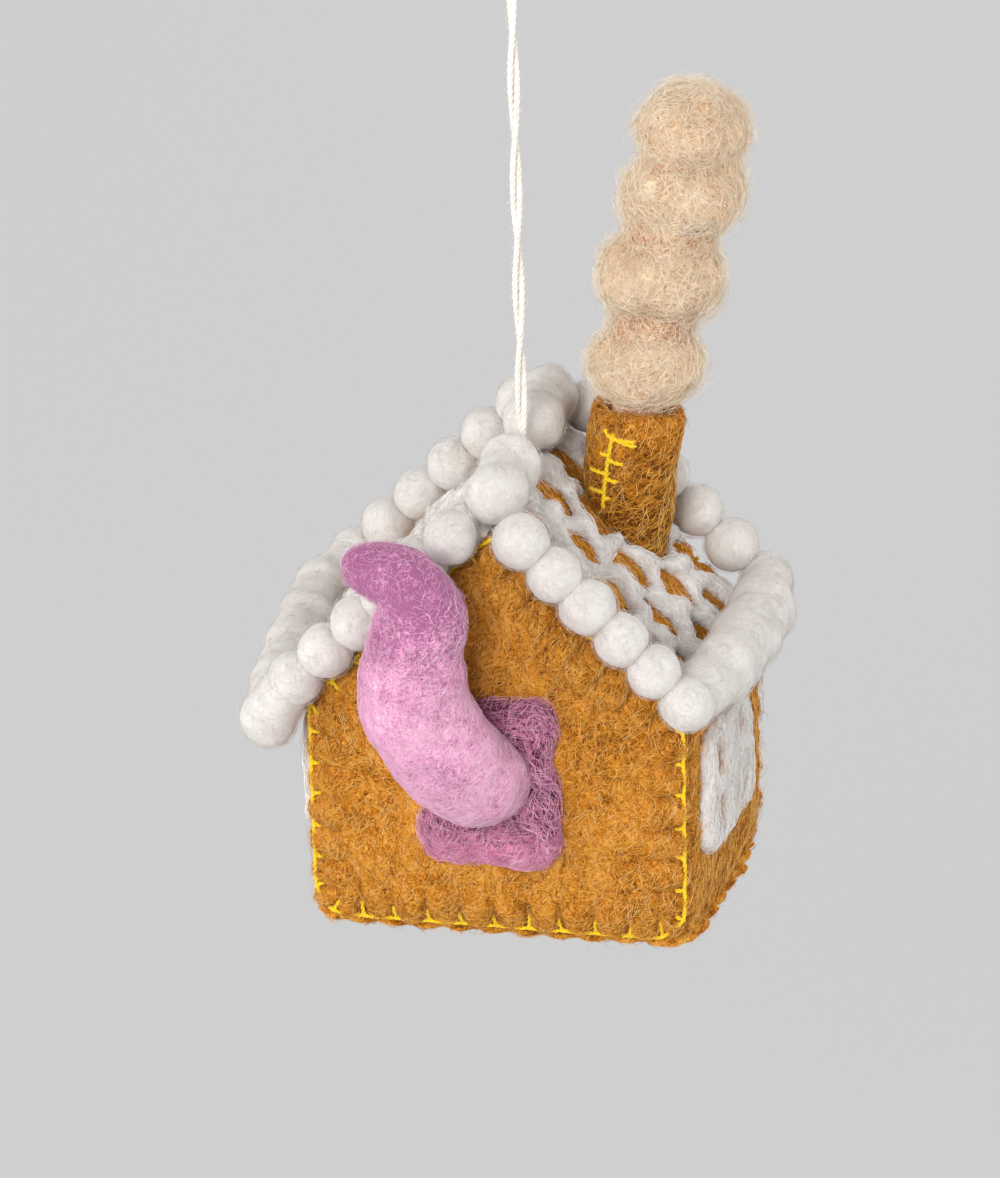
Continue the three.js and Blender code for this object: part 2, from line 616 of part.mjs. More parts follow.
// Tentacle: a stuffed arm that leaves the patch, swings left and curls over at its tip.
// Points are sideways and upward from the patch's middle, and forward of the front wall, as multiples of ARM.
const arm = [
  { aside: 0, forward: 0.2, up: 0.1, girth: 0.84 },
  { aside: -0.16, forward: 0.8, up: 0.26, girth: 0.9 },
  { aside: -0.54, forward: 1.36, up: 0.88, girth: 0.96 },
  { aside: -1.04, forward: 1.7, up: 2, girth: 0.98 },
  { aside: -0.96, forward: 1.85, up: 3.15, girth: 0.91 },
  { aside: -0.78, forward: 1.95, up: 4, girth: 0.8 },
  { aside: -1.14, forward: 1.9, up: 4.56, girth: 0.69 },
  { aside: -1.74, forward: 1.8, up: 4.72, girth: 0.55 },
];
{
  const middle = vec(PATCH_X, FRONT_Y, PATCH_Z);
  const centres = arm.map((p) => vec(p.aside, -p.forward, p.up).multiplyScalar(ARM).add(middle));
  const line = new THREE.CatmullRomCurve3(centres);
  const girth = new THREE.CatmullRomCurve3(arm.map((p) => vec(p.girth * ARM, 0, 0)));
  const rings = steps(22).map((f) => ({ at: line.getPoint(f), dir: line.getTangent(f), r: girth.getPoint(f).x }));
  const end = rings[rings.length - 1];
  for (const w of [0.35, 0.62, 0.84, 0.96]) {
    rings.push({ at: end.at.clone().addScaledVector(end.dir, end.r * w), dir: end.dir, r: end.r * Math.sqrt(1 - w * w) });
  }
  const sides = 16;
  const points = [];
  const faces = [];
  let side = vec(1, 0, 0);
  for (const { at, dir, r } of rings) {
    side = side.clone().addScaledVector(dir, -side.dot(dir)).normalize();
    const up = dir.clone().cross(side);
    for (let i = 0; i < sides; i++) {
      const a = (i / sides) * 2 * Math.PI;
      points.push(at.clone().addScaledVector(side, r * Math.cos(a)).addScaledVector(up, r * Math.sin(a)));
    }
  }
  const last = rings.length - 1;
  for (let k = 0; k < last; k++) {
    for (let i = 0; i < sides; i++) {
      const [a, b] = [k * sides + i, k * sides + ((i + 1) % sides)];
      faces.push(a, b, b + sides, a, b + sides, a + sides);
    }
  }
  points.push(rings[0].at, end.at.clone().addScaledVector(end.dir, end.r));
  for (let i = 0; i < sides; i++) {
    const j = (i + 1) % sides;
    faces.push(points.length - 2, j, i, points.length - 1, last * sides + i, last * sides + j);
  }
  const geometry = new THREE.BufferGeometry().setFromPoints(points);
  geometry.setIndex(faces);
  const seat = frontFace(PATCH_X, PATCH_Z) - PATCH * 1.25 - 2 * GAP;
  const body = solid(geometry).trimByPlane([0, -1, 0], -seat);
  piece('tentacle', surface(body), FINISH.mauve);
}

// Blanket stitch round a gable: a thread along its edge with legs onto the face.
function stitching(outerY) {
  const half = halfWidth(outerY);
  const inset = 0.7;
  const edge = [];
  const corner = (from) => {
    for (const f of steps(4)) {
      const a = from + (f * Math.PI) / 2;
      const x = (half - CORNER) * Math.sign(Math.cos(from + 0.7));
      edge.push(flat(x + CORNER * Math.cos(a), WALL_BASE + CORNER + CORNER * Math.sin(a)));
    }
  };
  corner(Math.PI);
  corner(1.5 * Math.PI);
  const eave = roofTop(half, outerY);
  edge.push(flat(half, eave), flat(0, roofTop(0, outerY)), flat(-half, eave));
  const inward = edge.map((p, i) => {
    const a = edge[(i + edge.length - 1) % edge.length];
    const b = edge[(i + 1) % edge.length];
    const n1 = flat(a.y - p.y, p.x - a.x).normalize();
    const n2 = flat(p.y - b.y, b.x - p.x).normalize();
    const n = n1.clone().add(n2).normalize();
    return n.divideScalar(Math.max(0.4, n.dot(n2)));
  });
  const outside = edge.map((p, i) => p.clone().addScaledVector(inward[i], inset));
  const inside = [];
  edge.forEach((p, i) => {
    const q = edge[(i + 1) % edge.length];
    const ahead = q.clone().sub(p);
    const length = ahead.length();
    ahead.normalize();
    const normal = flat(-ahead.y, ahead.x);
    inside.push(p.clone().addScaledVector(inward[i], inset + THREAD));
    const legs = Math.floor((length - STITCH_STEP) / STITCH_STEP);
    for (let k = 0; k < legs; k++) {
      const m = length / 2 + (k - (legs - 1) / 2) * STITCH_STEP;
      for (const [shift, deep] of [[-0.5, 0], [-0.5, 1], [0.5, 1], [0.5, 0]]) {
        const at = p.clone().addScaledVector(ahead, m + shift * THREAD);
        inside.push(at.addScaledVector(normal, inset + THREAD + deep * STITCH_LEG));
      }
    }
  });
  const comb = plate(outside, [inside], THREAD);
  const facing = outerY < 0 ? -1 : 1;
  return bend(comb, (a, z, d) => {
    const x = -facing * a;
    return [x, outerY + facing * (gableSwell(x, z, outerY) + GAP + d), z];
  });
}
piece('front_edge_stitching', stitching(FRONT_Y), FINISH.thread);
piece('back_edge_stitching', stitching(BACK_Y), FINISH.thread);

// Hanger loop: up one twisted strand, over the bight and down the other.
const knotDrop = PIVOT_Z - KNOT_Z - KNOT / 2 - GAP;
const strandEnd = PIVOT_Z - Math.sqrt(Math.max(0, knotDrop ** 2 - PAIR ** 2));
const loopTop = roofTop(0, CORD_Y) + LOOP_HEIGHT;
{
  const straight = loopTop - BIGHT - strandEnd;
  const strand = (phase) => {
    const points = steps(12).map((f) => {
      const a = phase + TWISTS * 2 * Math.PI * f;
      const r = (STRING + STRAND_GAP) / 2;
      return vec(r * Math.cos(a), CORD_Y + r * Math.sin(a), strandEnd + straight * f);
    });
    const a = phase + TWISTS * 2 * Math.PI;
    const bow = (f, wide) => {
      const r = (BIGHT_WIDTH / 2) * wide;
      points.push(vec(r * Math.cos(a), CORD_Y + r * Math.sin(a), loopTop - BIGHT * (1 - f)));
    };
    bow(0.4, 0.55);
    bow(0.72, 0.98);
    bow(0.92, 0.72);
    return points;
  };
  const path = [...strand(0), vec(0, CORD_Y, loopTop), ...strand(Math.PI).reverse()];
  const round = steps(8).slice(0, 8).map((f) => {
    const a = f * 2 * Math.PI;
    return flat((STRING / 2) * Math.cos(a), (STRING / 2) * Math.sin(a));
  });
  const extrudePath = new THREE.CatmullRomCurve3(path);
  const loop = new THREE.ExtrudeGeometry(new THREE.Shape(round), { steps: 78, bevelEnabled: false, extrudePath });
  piece('hanger_loop', loop, FINISH.string);
  const knot = new THREE.IcosahedronGeometry(KNOT / 2, 2).translate(0, CORD_Y, KNOT_Z);
  piece('hanger_knot', knot, FINISH.string);
}

// The house hangs under the point where a hook takes the loop.
house.position.set(0, -CORD_Y, STRING / 2 - loopTop);
const ornament = new THREE.Group();
ornament.add(house);
export default ornament;
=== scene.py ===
"""Felt gingerbread-house ornament on a string, with wool icing, felt balls, wool smoke and a tentacle."""

import json
import math
from types import SimpleNamespace

import bpy
import numpy as np
from bpy.props import FloatProperty, FloatVectorProperty, PointerProperty
from bpy.types import Operator, Panel, PropertyGroup
from mathutils import Matrix, Vector

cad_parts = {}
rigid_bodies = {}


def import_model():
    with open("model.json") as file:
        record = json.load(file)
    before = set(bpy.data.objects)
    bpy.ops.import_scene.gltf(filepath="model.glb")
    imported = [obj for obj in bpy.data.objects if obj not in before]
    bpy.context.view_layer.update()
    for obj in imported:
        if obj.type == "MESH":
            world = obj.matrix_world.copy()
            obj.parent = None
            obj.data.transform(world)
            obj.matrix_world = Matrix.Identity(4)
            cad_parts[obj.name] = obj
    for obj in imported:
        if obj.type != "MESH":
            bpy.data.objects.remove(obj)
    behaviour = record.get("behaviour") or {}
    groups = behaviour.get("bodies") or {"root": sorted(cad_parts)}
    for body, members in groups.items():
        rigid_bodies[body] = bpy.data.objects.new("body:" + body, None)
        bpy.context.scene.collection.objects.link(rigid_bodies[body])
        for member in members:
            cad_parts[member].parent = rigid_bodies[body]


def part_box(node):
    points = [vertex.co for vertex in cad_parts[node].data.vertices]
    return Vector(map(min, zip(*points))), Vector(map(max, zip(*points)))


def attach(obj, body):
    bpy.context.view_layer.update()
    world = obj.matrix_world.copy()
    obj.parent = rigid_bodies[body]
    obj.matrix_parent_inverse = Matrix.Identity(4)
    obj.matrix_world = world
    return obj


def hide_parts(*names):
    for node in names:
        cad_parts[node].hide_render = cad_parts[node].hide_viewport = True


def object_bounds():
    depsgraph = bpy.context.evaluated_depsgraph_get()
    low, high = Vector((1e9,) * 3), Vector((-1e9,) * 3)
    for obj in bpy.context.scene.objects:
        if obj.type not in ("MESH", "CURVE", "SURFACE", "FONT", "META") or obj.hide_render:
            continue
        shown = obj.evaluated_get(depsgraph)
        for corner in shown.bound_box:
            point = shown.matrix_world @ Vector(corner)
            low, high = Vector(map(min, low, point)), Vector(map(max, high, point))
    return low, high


bl_info = {
    "name": "Felt gingerbread-house ornament",
    "version": (1, 0, 0),
    "blender": (4, 5, 0),
    "location": "View3D > Sidebar > Ornament",
    "description": "Dresses the frame of a hanging felt house in felt, wool, thread and string",
    "category": "Object",
}

MM = 0.001
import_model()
CAD_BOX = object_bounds()

# The house is measured in millimetres from the middle of its floor's underside.
FLOOR_LOW, FLOOR_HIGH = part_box("floor_panel")
HOUSE = np.array([0, (FLOOR_LOW.y + FLOOR_HIGH.y) / 2, FLOOR_LOW.z])

# Loose fibres by kind: length, thickness, sideways curl and arch in millimetres, rings of points, and seed.
FIBRES = {
    "cotton_fluff": (2.6, 0.05, 0.35, 0.5, 3, 21),
    "felt_fibres": (4.0, 0.11, 0.8, 0.45, 2, 5),
    "felt_wisps": (7.0, 0.06, 1.5, 1.3, 4, 6),
    "roof_fibres": (4.0, 0.11, 0.8, 0.45, 2, 71),
    "icing_fibres": (4.4, 0.11, 0.7, 0.5, 2, 81),
    "ball_fibres": (3.0, 0.045, 0.7, 0.6, 2, 101),
    "chimney_fibres": (4.0, 0.1, 0.8, 0.45, 2, 123),
    "smoke_wool_fibres": (6.5, 0.09, 1.8, 0.9, 3, 134),
    "smoke_curls_fibres": (7.0, 0.06, 2.0, 2.0, 3, 134),
    "smoke_flyaways_fibres": (9.0, 0.045, 2.4, 2.4, 3, 134),
    "patch_fibres": (5.0, 0.085, 1.2, 0.8, 3, 143),
    "tentacle_fibres": (3.2, 0.055, 0.7, 0.4, 2, 147),
}
SAMPLES = 7  # fibres of each kind that are bent differently
PER_CM2 = 1e4  # square centimetres in a square metre

# Matted wool by name: its colours from deep to pale, then in millimetres the size of its cloudy patches, the
# spacing of its fibres and the depth of its surface.
MATTED = {
    # Craft felt pressed from dyed wool: mottled golden brown, quite matt, with a pale bloom of fuzz.
    "gingerbread craft felt": (("felt_dark", "felt", "felt_light"), 7, 1.1, 0.5),
    # White carded wool, needled down: soft, faintly pink in its hollows, with strands that show.
    "white needled wool": (("icing_shade", "icing", "icing_light"), 5, 0.9, 0.35),
    # White felt balls rolled from wool: smooth and matt, with a faint warm mottle.
    "white rolled felt": (("ball_shade", "ball", "ball_light"), 4, 0.7, 0.16),
    # Carded wool, barely felted: cream, cloudy and soft, with painted shade that turns it tan in its hollows.
    "cream carded wool": (("smoke_dark", "smoke", "smoke_light"), 6, 1.0, 0.6),
    # Coarse carded wool needled in swirls: plum, with deep shadows between its strands.
    "plum needled wool": (("plum_dark", "plum", "plum_light"), 5, 1.3, 0.6),
    # Dense needled wool: mauve, smooth and matt, with a pale bloom of fine fibres.
    "mauve needled wool": (("mauve_dark", "mauve", "mauve_light"), 6, 1.0, 0.25),
    # White polyester wadding: bright, loose and quite matt.
    "white wadding": (("wadding_dark", "wadding", "wadding_light"), 6, 1.2, 0.5),
}
# Loose fibres by name: the shades that make a coat sparkle softly, and the weight of its sheen.
LOOSE = {
    # From a deep brown to a pale straw, so the felt looks mottled and deep.
    "loose gingerbread wool": (("fibre_dark", "fibre", "fibre_light", "felt_light", "fibre_tip"), 0.12),
    "loose white wool": (("icing", "icing_fibre", "icing_tip"), 0.3),
    "white ball fluff": (("ball_shade", "ball", "ball_tip"), 0.3),
    "loose cream wool": (("smoke", "smoke_light", "smoke_light", "smoke_tip"), 0.3),
    "loose plum wool": (("plum", "plum_light", "plum_tip"), 0.3),
    "loose mauve wool": (("mauve", "mauve_light", "mauve_tip"), 0.3),
    "cotton fluff": (("string_dark", "string", "string"), 0.3),
}
# Spun yarn by name: the colours of its grooves and of its plies, and the thickness of a ply in millimetres.
SPUN = {
    # Cotton string: loosely spun, so it is matt and cream, with soft grooves between its plies.
    "loosely spun cotton": (("string_dark", "string"), 0.5),
    # Stranded cotton thread: bright yellow with a soft sheen, deeper in the grooves of its twist.
    "yellow embroidery cotton": (("thread_dark", "thread"), 0.4),
}
# Its twist: how many plies it has, the length of one turn in millimetres, and how far it swells.
TWIST = {
    "loosely spun cotton": (3, 4.2, 1.0),
    "yellow embroidery cotton": (2, 2.4, 1.1),
}


def linear(code):
    """An sRGB hex colour as linear red, green and blue."""
    parts = [int(code[i : i + 2], 16) / 255 for i in (0, 2, 4)]
    return tuple(c / 12.92 if c <= 0.04045 else ((c + 0.055) / 1.055) ** 2.4 for c in parts)


def length(name, millimetres, words):
    return FloatProperty(name=name, description=words, default=millimetres * MM, unit="LENGTH", precision=5)


def angle(name, degrees, words):
    return FloatProperty(name=name, description=words, default=math.radians(degrees), subtype="ANGLE")


def colour(name, code, words):
    shade = linear(code)
    return FloatVectorProperty(name=name, description=words, default=shade, subtype="COLOR", min=0, max=1)


def fibres(count):
    return FloatProperty(name="Fibres", description="Loose fibres on a square centimetre", default=count)


class HouseSizes(PropertyGroup):
    felt: length("Felt", 3, "Thickness of the felt sheets")
    gap: length("Clearance", 0.3, "Room between pieces that touch")
    front_width: length("Front width", 71, "Width of the front wall")
    depth: length("Depth", 54, "From the front wall's face to the back wall's")
    eave: length("Eave height", 42.5, "Height of the side walls' tops")
    pitch: angle("Pitch", 44.5, "Slope of the roof")
    rise: length("Ridge rise", 4, "How far the ridge climbs towards the back")
    corner: length("Corner", 6, "Radius of the walls' lower corners")
    edge: length("Edge", 1.5, "Rounding of a cut felt edge")
    front_swell: length("Front swell", 3.5, "How far stuffing pushes out the front wall")
    back_swell: length("Back swell", 3, "How far stuffing pushes out the back wall")
    side_swell: length("Side swell", 1.6, "How far stuffing pushes out the side walls")
    overhang: length("Eave overhang", 1.5, "How far the roof passes the side walls")
    chimney: length("Chimney", 17, "Diameter of the rolled felt chimney")
    chimney_x: length("Chimney place", 15.8, "Distance of the chimney from the ridge")
    chimney_length: length("Chimney length", 22.5, "Height of the chimney above the slope at its middle")
    lean: angle("Chimney lean", 8, "Lean of the chimney to the right")


class TrimSizes(PropertyGroup):
    icing: length("Icing", 2, "Thickness of the white wool")
    net_step_down: length("Net rows", 9.8, "Distance between rows of gaps, down the slope")
    net_step_along: length("Net columns", 13.4, "Distance between gaps along the ridge")
    net_hole_length: length("Gap length", 9.4, "Length of a gap in the net")
    net_hole_width: length("Gap width", 8, "Width of a gap in the net")
    string_room: length("String room", 4.5, "Bare felt round the string, which leans as the house swings")
    window_width: length("Window width", 31, "Width of the wool window")
    window_height: length("Window height", 24, "Height of the wool window")
    window_sill: length("Window sill", 17, "Height of the window above the floor")
    window_place: length("Window place", -5, "Distance of the window's middle from the wall's")
    pane_width: length("Pane width", 5.4, "Width of one pane")
    pane_height: length("Pane height", 6.6, "Height of one pane")
    thread: length("Thread", 0.8, "Diameter of the yellow thread")
    stitch_leg: length("Stitch leg", 3, "Length of a stitch's leg")
    stitch_step: length("Stitch step", 6.3, "Distance between two stitches")
    stitch_inset: length("Stitch inset", 0.5, "How far in from the edge the thread lies")


class StringSizes(PropertyGroup):
    strand: length("Strand", 1.1, "Diameter of one strand")
    gap: length("Strand gap", 0.16, "Room between the two strands")
    height: length("Loop height", 110, "Height of the loop above the ridge")
    bight: length("Bight", 18, "Height of the open loop at the top")
    bight_width: length("Bight width", 7, "Width of the open loop")
    knot: length("Knot", 5.4, "Size of the knot")
    twists: FloatProperty(name="Twists", description="Turns of one strand round the other", default=2.5)


class DoorSizes(PropertyGroup):
    width: length("Patch width", 27, "Width of the door patch")
    height: length("Patch height", 34, "Height of the door patch")
    side: length("Patch place", -0.2, "Distance of the patch's middle from the wall's")
    middle: length("Patch height above the floor", 35, "Height of the patch's middle")
    thick: length("Patch thickness", 2.6, "Thickness of the patch")
    girth: length("Girth", 10, "Measure of the tentacle, about its radius where it is thickest")


class WoolColours(PropertyGroup):
    felt_dark: colour("Felt shade", "5A2C03", "Deep felt between the fibres")
    felt: colour("Felt", "CA7A12", "Golden-brown felt")
    felt_light: colour("Felt light", "F2B44C", "Raised felt, and pale fibres on it")
    fibre_dark: colour("Fibre shade", "94520A", "Deepest fibres of the felt")
    fibre: colour("Fibre", "D68C20", "Common fibres of the felt")
    fibre_light: colour("Fibre light", "EAAA42", "Light fibres of the felt")
    fibre_tip: colour("Fibre straw", "F8D08A", "Palest fibres of the felt")
    ball: colour("Balls", "D7D2CD", "White felt balls")
    ball_shade: colour("Ball shade", "CDC6C0", "Hollows of the white felt")
    ball_light: colour("Ball light", "DFDBD7", "Raised white felt")
    ball_tip: colour("Ball fluff", "ECE8E4", "Palest fluff of the balls")
    icing: colour("Icing", "F1ECE8", "White wool")
    icing_shade: colour("Icing shade", "D8CAC4", "Thin places of the white wool")
    icing_light: colour("Icing light", "F6F2EF", "Raised white wool")
    icing_fibre: colour("Icing fibre", "F6F3F0", "Common fibres of the white wool")
    icing_tip: colour("Icing fluff", "FDFBFA", "Palest fibres of the white wool")
    mauve: colour("Mauve", "E09AC0", "Tentacle wool")
    mauve_light: colour("Mauve light", "F5C8E0", "Light fibres of the tentacle")
    mauve_tip: colour("Mauve fluff", "FCE2F1", "Palest fibres of the tentacle")
    mauve_dark: colour("Mauve shade", "9A5A82", "Deep wool of the tentacle")
    plum: colour("Plum", "D47CA4", "Door patch wool")
    plum_light: colour("Plum light", "F2A8CA", "Light fibres of the door patch")
    plum_tip: colour("Plum fluff", "FBD2E4", "Palest fibres of the door patch")
    plum_dark: colour("Plum shade", "5A2A44", "Deep wool of the door patch")
    smoke: colour("Smoke", "E9CAA4", "Cream smoke wool")
    smoke_light: colour("Smoke light", "FCEAD0", "Light fibres of the smoke")
    smoke_tip: colour("Smoke fluff", "FFF6E6", "Palest fibres of the smoke")
    smoke_dark: colour("Smoke shade", "BC8560", "Deep wool of the smoke")
    thread: colour("Thread", "F8D31C", "Yellow embroidery thread")
    thread_dark: colour("Thread shade", "D3A20C", "Grooves of the thread")
    string: colour("String", "F7F2EA", "Cream cotton string")
    string_dark: colour("String shade", "DDD1C0", "Grooves of the string")
    wadding: colour("Wadding", "F0EEEA", "White stuffing")
    wadding_light: colour("Wadding light", "F8F7F5", "Raised stuffing")
    wadding_dark: colour("Wadding shade", "D8D5D0", "Hollows of the stuffing")
    stage: colour("Background", "CFCFCF", "Floor and background")


GROUPS = {
    "ornament_house": HouseSizes,
    "ornament_trim": TrimSizes,
    "ornament_string": StringSizes,
    "ornament_door": DoorSizes,
    "ornament_colours": WoolColours,
}


def in_mm(group):
    """A group's sizes by name: its lengths in millimetres, and its other values as they are."""
    found = SimpleNamespace()
    for key in type(group).__annotations__:
        value = getattr(group, key)
        setattr(found, key, value / MM if group.bl_rna.properties[key].unit == "LENGTH" else value)
    return found


class House:
    """The house's shape in millimetres from the middle of its floor. Its front end is -1, its back end 1."""

    def __init__(self, context):
        vars(self).update(vars(in_mm(context.scene.ornament_house)))
        self.half, self.back = self.front_width / 2, self.depth / 2
        self.tan, self.cos = math.tan(self.pitch), math.cos(self.pitch)
        self.base = self.felt + self.gap
        self.side_end = self.back - self.felt - self.gap
        self.chimney_radius = self.chimney / 2
        low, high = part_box("chimney_tube")
        y = ((low.y + high.y) / 2 - HOUSE[1]) / MM
        self.chimney_foot = np.array([self.chimney_x, y, self.roof_top(self.chimney_x, y)])

    def half_width(self, y):
        return self.half + self.rise / self.tan * (y + self.back) / (2 * self.back)

    def wall_top(self, x, y):
        return self.eave + (self.half_width(y) - np.abs(x)) * self.tan

    def roof_top(self, x, y):
        return self.wall_top(x, y) + (self.gap + self.felt) / self.cos

    def eave_x(self, y):
        return self.half_width(y) + self.overhang

    def gable_base(self, x, end):
        past = np.clip(np.abs(x) - self.half_width(end * self.back) + self.corner, 0, self.corner)
        return self.base + self.corner - np.sqrt(self.corner**2 - past**2)

    def gable_face(self, x, z, end, rim=9.0):
        """How far forward or back a gable's lumpy outer face lies, at some distance in from its edge."""
        y, most = end * self.back, self.front_swell if end < 0 else self.back_swell
        swell = most * pillow((x / self.half_width(y) + 1) / 2)
        swell = swell * pillow((z - self.base) / (self.roof_top(x, y) - self.base))
        flat = xyz(x, 0.0, z)
        wave = 0.45 * lumps(flat, 13, 11 + end) + 0.22 * lumps(flat, 5, 14 + end)
        edge = self.felt / 2 * (1 - rounded(rim, self.edge))
        return end * (self.back + swell + wave * swell / most - edge)

    def side_face(self, y, z, side):
        """How far sideways a side wall's lumpy outer face lies."""
        swell = self.side_swell * pillow((y + self.side_end) / (2 * self.side_end))
        swell = swell * pillow((z - self.base) / (self.eave - self.base))
        flat = xyz(0.0, y, z)
        wave = 0.35 * lumps(flat, 12, 41 + side) + 0.2 * lumps(flat, 5, 44 + side)
        return side * (self.half_width(y) + swell + wave * swell / self.side_swell)

    def gable_edge(self, end, step):
        """Places every step along a gable's edge, in x and z, with the direction into the wall at each."""
        half, corner = self.half_width(end * self.back), self.corner
        turn = np.linspace(0, math.pi / 2, 12)
        left = np.column_stack([-half + corner - corner * np.cos(turn), -corner * np.sin(turn)])
        right = np.column_stack([half - corner + corner * np.sin(turn), -corner * np.cos(turn)])
        arcs = np.vstack([left, right]) + [0, self.base + corner]
        top, shoulder = self.roof_top(0, end * self.back), self.roof_top(half, end * self.back)
        line = np.vstack([[-half, shoulder], arcs, [half, shoulder], [0, top], [-half, shoulder]])
        far = np.concatenate([[0], np.cumsum(np.linalg.norm(np.diff(line, axis=0), axis=1))])

        def along(at):
            return np.column_stack([np.interp(at, far, line[:, k]) for k in (0, 1)])

        at = np.linspace(0, far[-1], max(8, round(far[-1] / step)) + 1)
        ahead = along(at + 0.4) - along(at - 0.4)
        ahead /= np.linalg.norm(ahead, axis=1)[:, None]
        return along(at), np.column_stack([-ahead[:, 1], ahead[:, 0]])

    def roof_frame(self, side):
        """The ridge's middle, and the directions down the slope, along the ridge and out of the roof."""
        slope = self.rise / (2 * self.back)
        along = np.array([0, 1, slope]) / math.hypot(1, slope)
        outward = np.array([side * self.tan, -slope, 1])
        outward /= np.linalg.norm(outward)
        return np.array([0, 0, self.roof_top(0, 0)]), side * np.cross(along, outward), along, outward

    def on_chimney(self, radius, turn, height):
        shaft = np.array([math.sin(self.lean), 0, math.cos(self.lean)])
        across = np.array([math.cos(self.lean), 0, -math.sin(self.lean)])
        around = outer(radius * np.cos(turn), across) + outer(radius * np.sin(turn), [0, 1, 0])
        return self.chimney_foot + around + outer(height, shaft)

    def chimney_low(self, radius, turn):
        """Height along the chimney at which it meets the slope."""
        p = self.on_chimney(radius, turn, 0 * turn)
        below = self.roof_top(p[..., 0], p[..., 1]) - p[..., 2] + self.gap / self.cos
        return below / (math.cos(self.lean) + self.tan * math.sin(self.lean))


outer = np.multiply.outer


def xyz(x, y, z):
    return np.stack(np.broadcast_arrays(x, y, z), axis=-1)


def grid(rows, columns):
    return np.meshgrid(rows, columns, indexing="ij")


def pillow(f):
    """Full in the middle and falling to nothing at both ends of 0 to 1."""
    return 1 - (2 * np.clip(f, 0, 1) - 1) ** 4


def lumps(points, size, seed):
    """A smooth random field of about -1 to 1 over points, with lumps of about that size."""
    rng = np.random.default_rng(seed)
    points = np.asarray(points, float)
    total = np.zeros(points.shape[:-1])
    for _ in range(16):
        wave = rng.normal(size=3)
        wave *= rng.uniform(0.6, 1.5) * math.pi / (np.linalg.norm(wave) * size)
        total += np.sin(points @ wave + rng.uniform(0, 2 * math.pi))
    return total / 4.2


def spaced(low, high, count):
    """Values from low to high that lie closer together near both ends."""
    f = np.linspace(0, 1, count)
    eased = (1 - np.cos(math.pi * f)) / 2
    return low + (high - low) * (0.45 * f + 0.55 * eased)


def rounded(distance, radius):
    """Share of a sheet's thickness at some distance in from its rounded edge."""
    return np.sqrt(1 - (1 - np.clip(distance / radius, 0, 1)) ** 2)


def box_inset(x, y, half_x, half_y, corner):
    """Distance in from the edge of a rectangle with round corners."""
    past_x, past_y = np.abs(x) - half_x + corner, np.abs(y) - half_y + corner
    outside = np.hypot(np.maximum(past_x, 0), np.maximum(past_y, 0))
    return corner - outside - np.minimum(np.maximum(past_x, past_y), 0)


def smooth_line(points, count):
    """A smooth line through points, at evenly spaced steps of its parameter."""
    points = np.asarray(points, float)
    f = np.linspace(0, len(points) - 1, count)
    i = np.minimum(f.astype(int), len(points) - 2)
    t = (f - i)[:, None]
    padded = np.vstack([2 * points[0] - points[1], points, 2 * points[-1] - points[-2]])
    a, b, c, d = padded[i], padded[i + 1], padded[i + 2], padded[i + 3]
    return 0.5 * (2 * b + (c - a) * t + (2 * a - 5 * b + 4 * c - d) * t**2 + (3 * b - a - 3 * c + d) * t**3)


def ball_places(prefix, count):
    """Middles and sizes, in millimetres of the house, of the balls of one row."""
    places = []
    for k in range(1, count + 1):
        low, high = (np.array(p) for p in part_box(f"{prefix}_{k}"))
        places.append((((low + high) / 2 - HOUSE) / MM, float(high[0] - low[0]) / MM))
    return places


def shown(name, data):
    """An object of the scene with that data."""
    obj = bpy.data.objects.new(name, data)
    bpy.context.scene.collection.objects.link(obj)
    return obj


def mesh_piece(name, points, faces, finish):
    """A smooth mesh, its place in its points, which are millimetres of the house."""
    mesh = bpy.data.meshes.new(name)
    mesh.from_pydata((np.asarray(points, float).reshape(-1, 3) * MM + HOUSE).tolist(), [], faces)
    mesh.shade_smooth()
    mesh.materials.append(finish)
    return shown(name, mesh)


def points_of(obj):
    """A mesh's points in millimetres of the house."""
    flat = np.zeros(len(obj.data.vertices) * 3)
    obj.data.vertices.foreach_get("co", flat)
    return (flat.reshape(-1, 3) - HOUSE) / MM


def pushed(obj, points, by):
    """A mesh's points, moved out along its normals by some millimetres each."""
    normals = np.zeros(len(points) * 3)
    obj.data.vertices.foreach_get("normal", normals)
    return points + normals.reshape(-1, 3) * by[:, None]


def move_points(obj, points):
    obj.data.vertices.foreach_set("co", (points * MM + HOUSE).ravel())
    obj.data.update()


def paint(mesh, **fields):
    """Marks a mesh's points. Grain is the way that its fibres lie.

    From 0 to 1, nap says how many loose fibres stand there, and the colour mark how deep the colour is.
    That depth stands for deeper wool in some places and for painted shade in others.
    """
    for name, values in fields.items():
        values = np.asarray(values, np.float32)
        kind, key = ("FLOAT_VECTOR", "vector") if values.ndim > 1 else ("FLOAT", "value")
        field = mesh.attributes.get(name) or mesh.attributes.new(name, kind, "POINT")
        field.data.foreach_set(key, np.broadcast_to(values, (len(mesh.vertices), *values.shape[1:])).ravel())


def quads(numbers):
    """The values at the four corners of each cell of a grid."""
    return np.stack([numbers[:-1, :-1], numbers[1:, :-1], numbers[1:, 1:], numbers[:-1, 1:]], axis=-1)


def tube_faces(rings, columns, start=0, flip=False):
    """Faces of a closed tube. Its rings of points come first, and then the two points at its ends."""
    numbers = start + np.arange(rings * columns).reshape(rings, columns)
    sides = quads(np.column_stack([numbers, numbers[:, 0]])).reshape(-1, 4)
    faces = (sides[:, ::-1] if flip else sides).tolist()
    tip = start + rings * columns
    for j in range(columns):
        k = (j + 1) % columns
        for end, a, b in ((tip, start + j, start + k), (tip + 1, tip - columns + k, tip - columns + j)):
            faces.append((end, b, a) if flip else (end, a, b))
    return faces


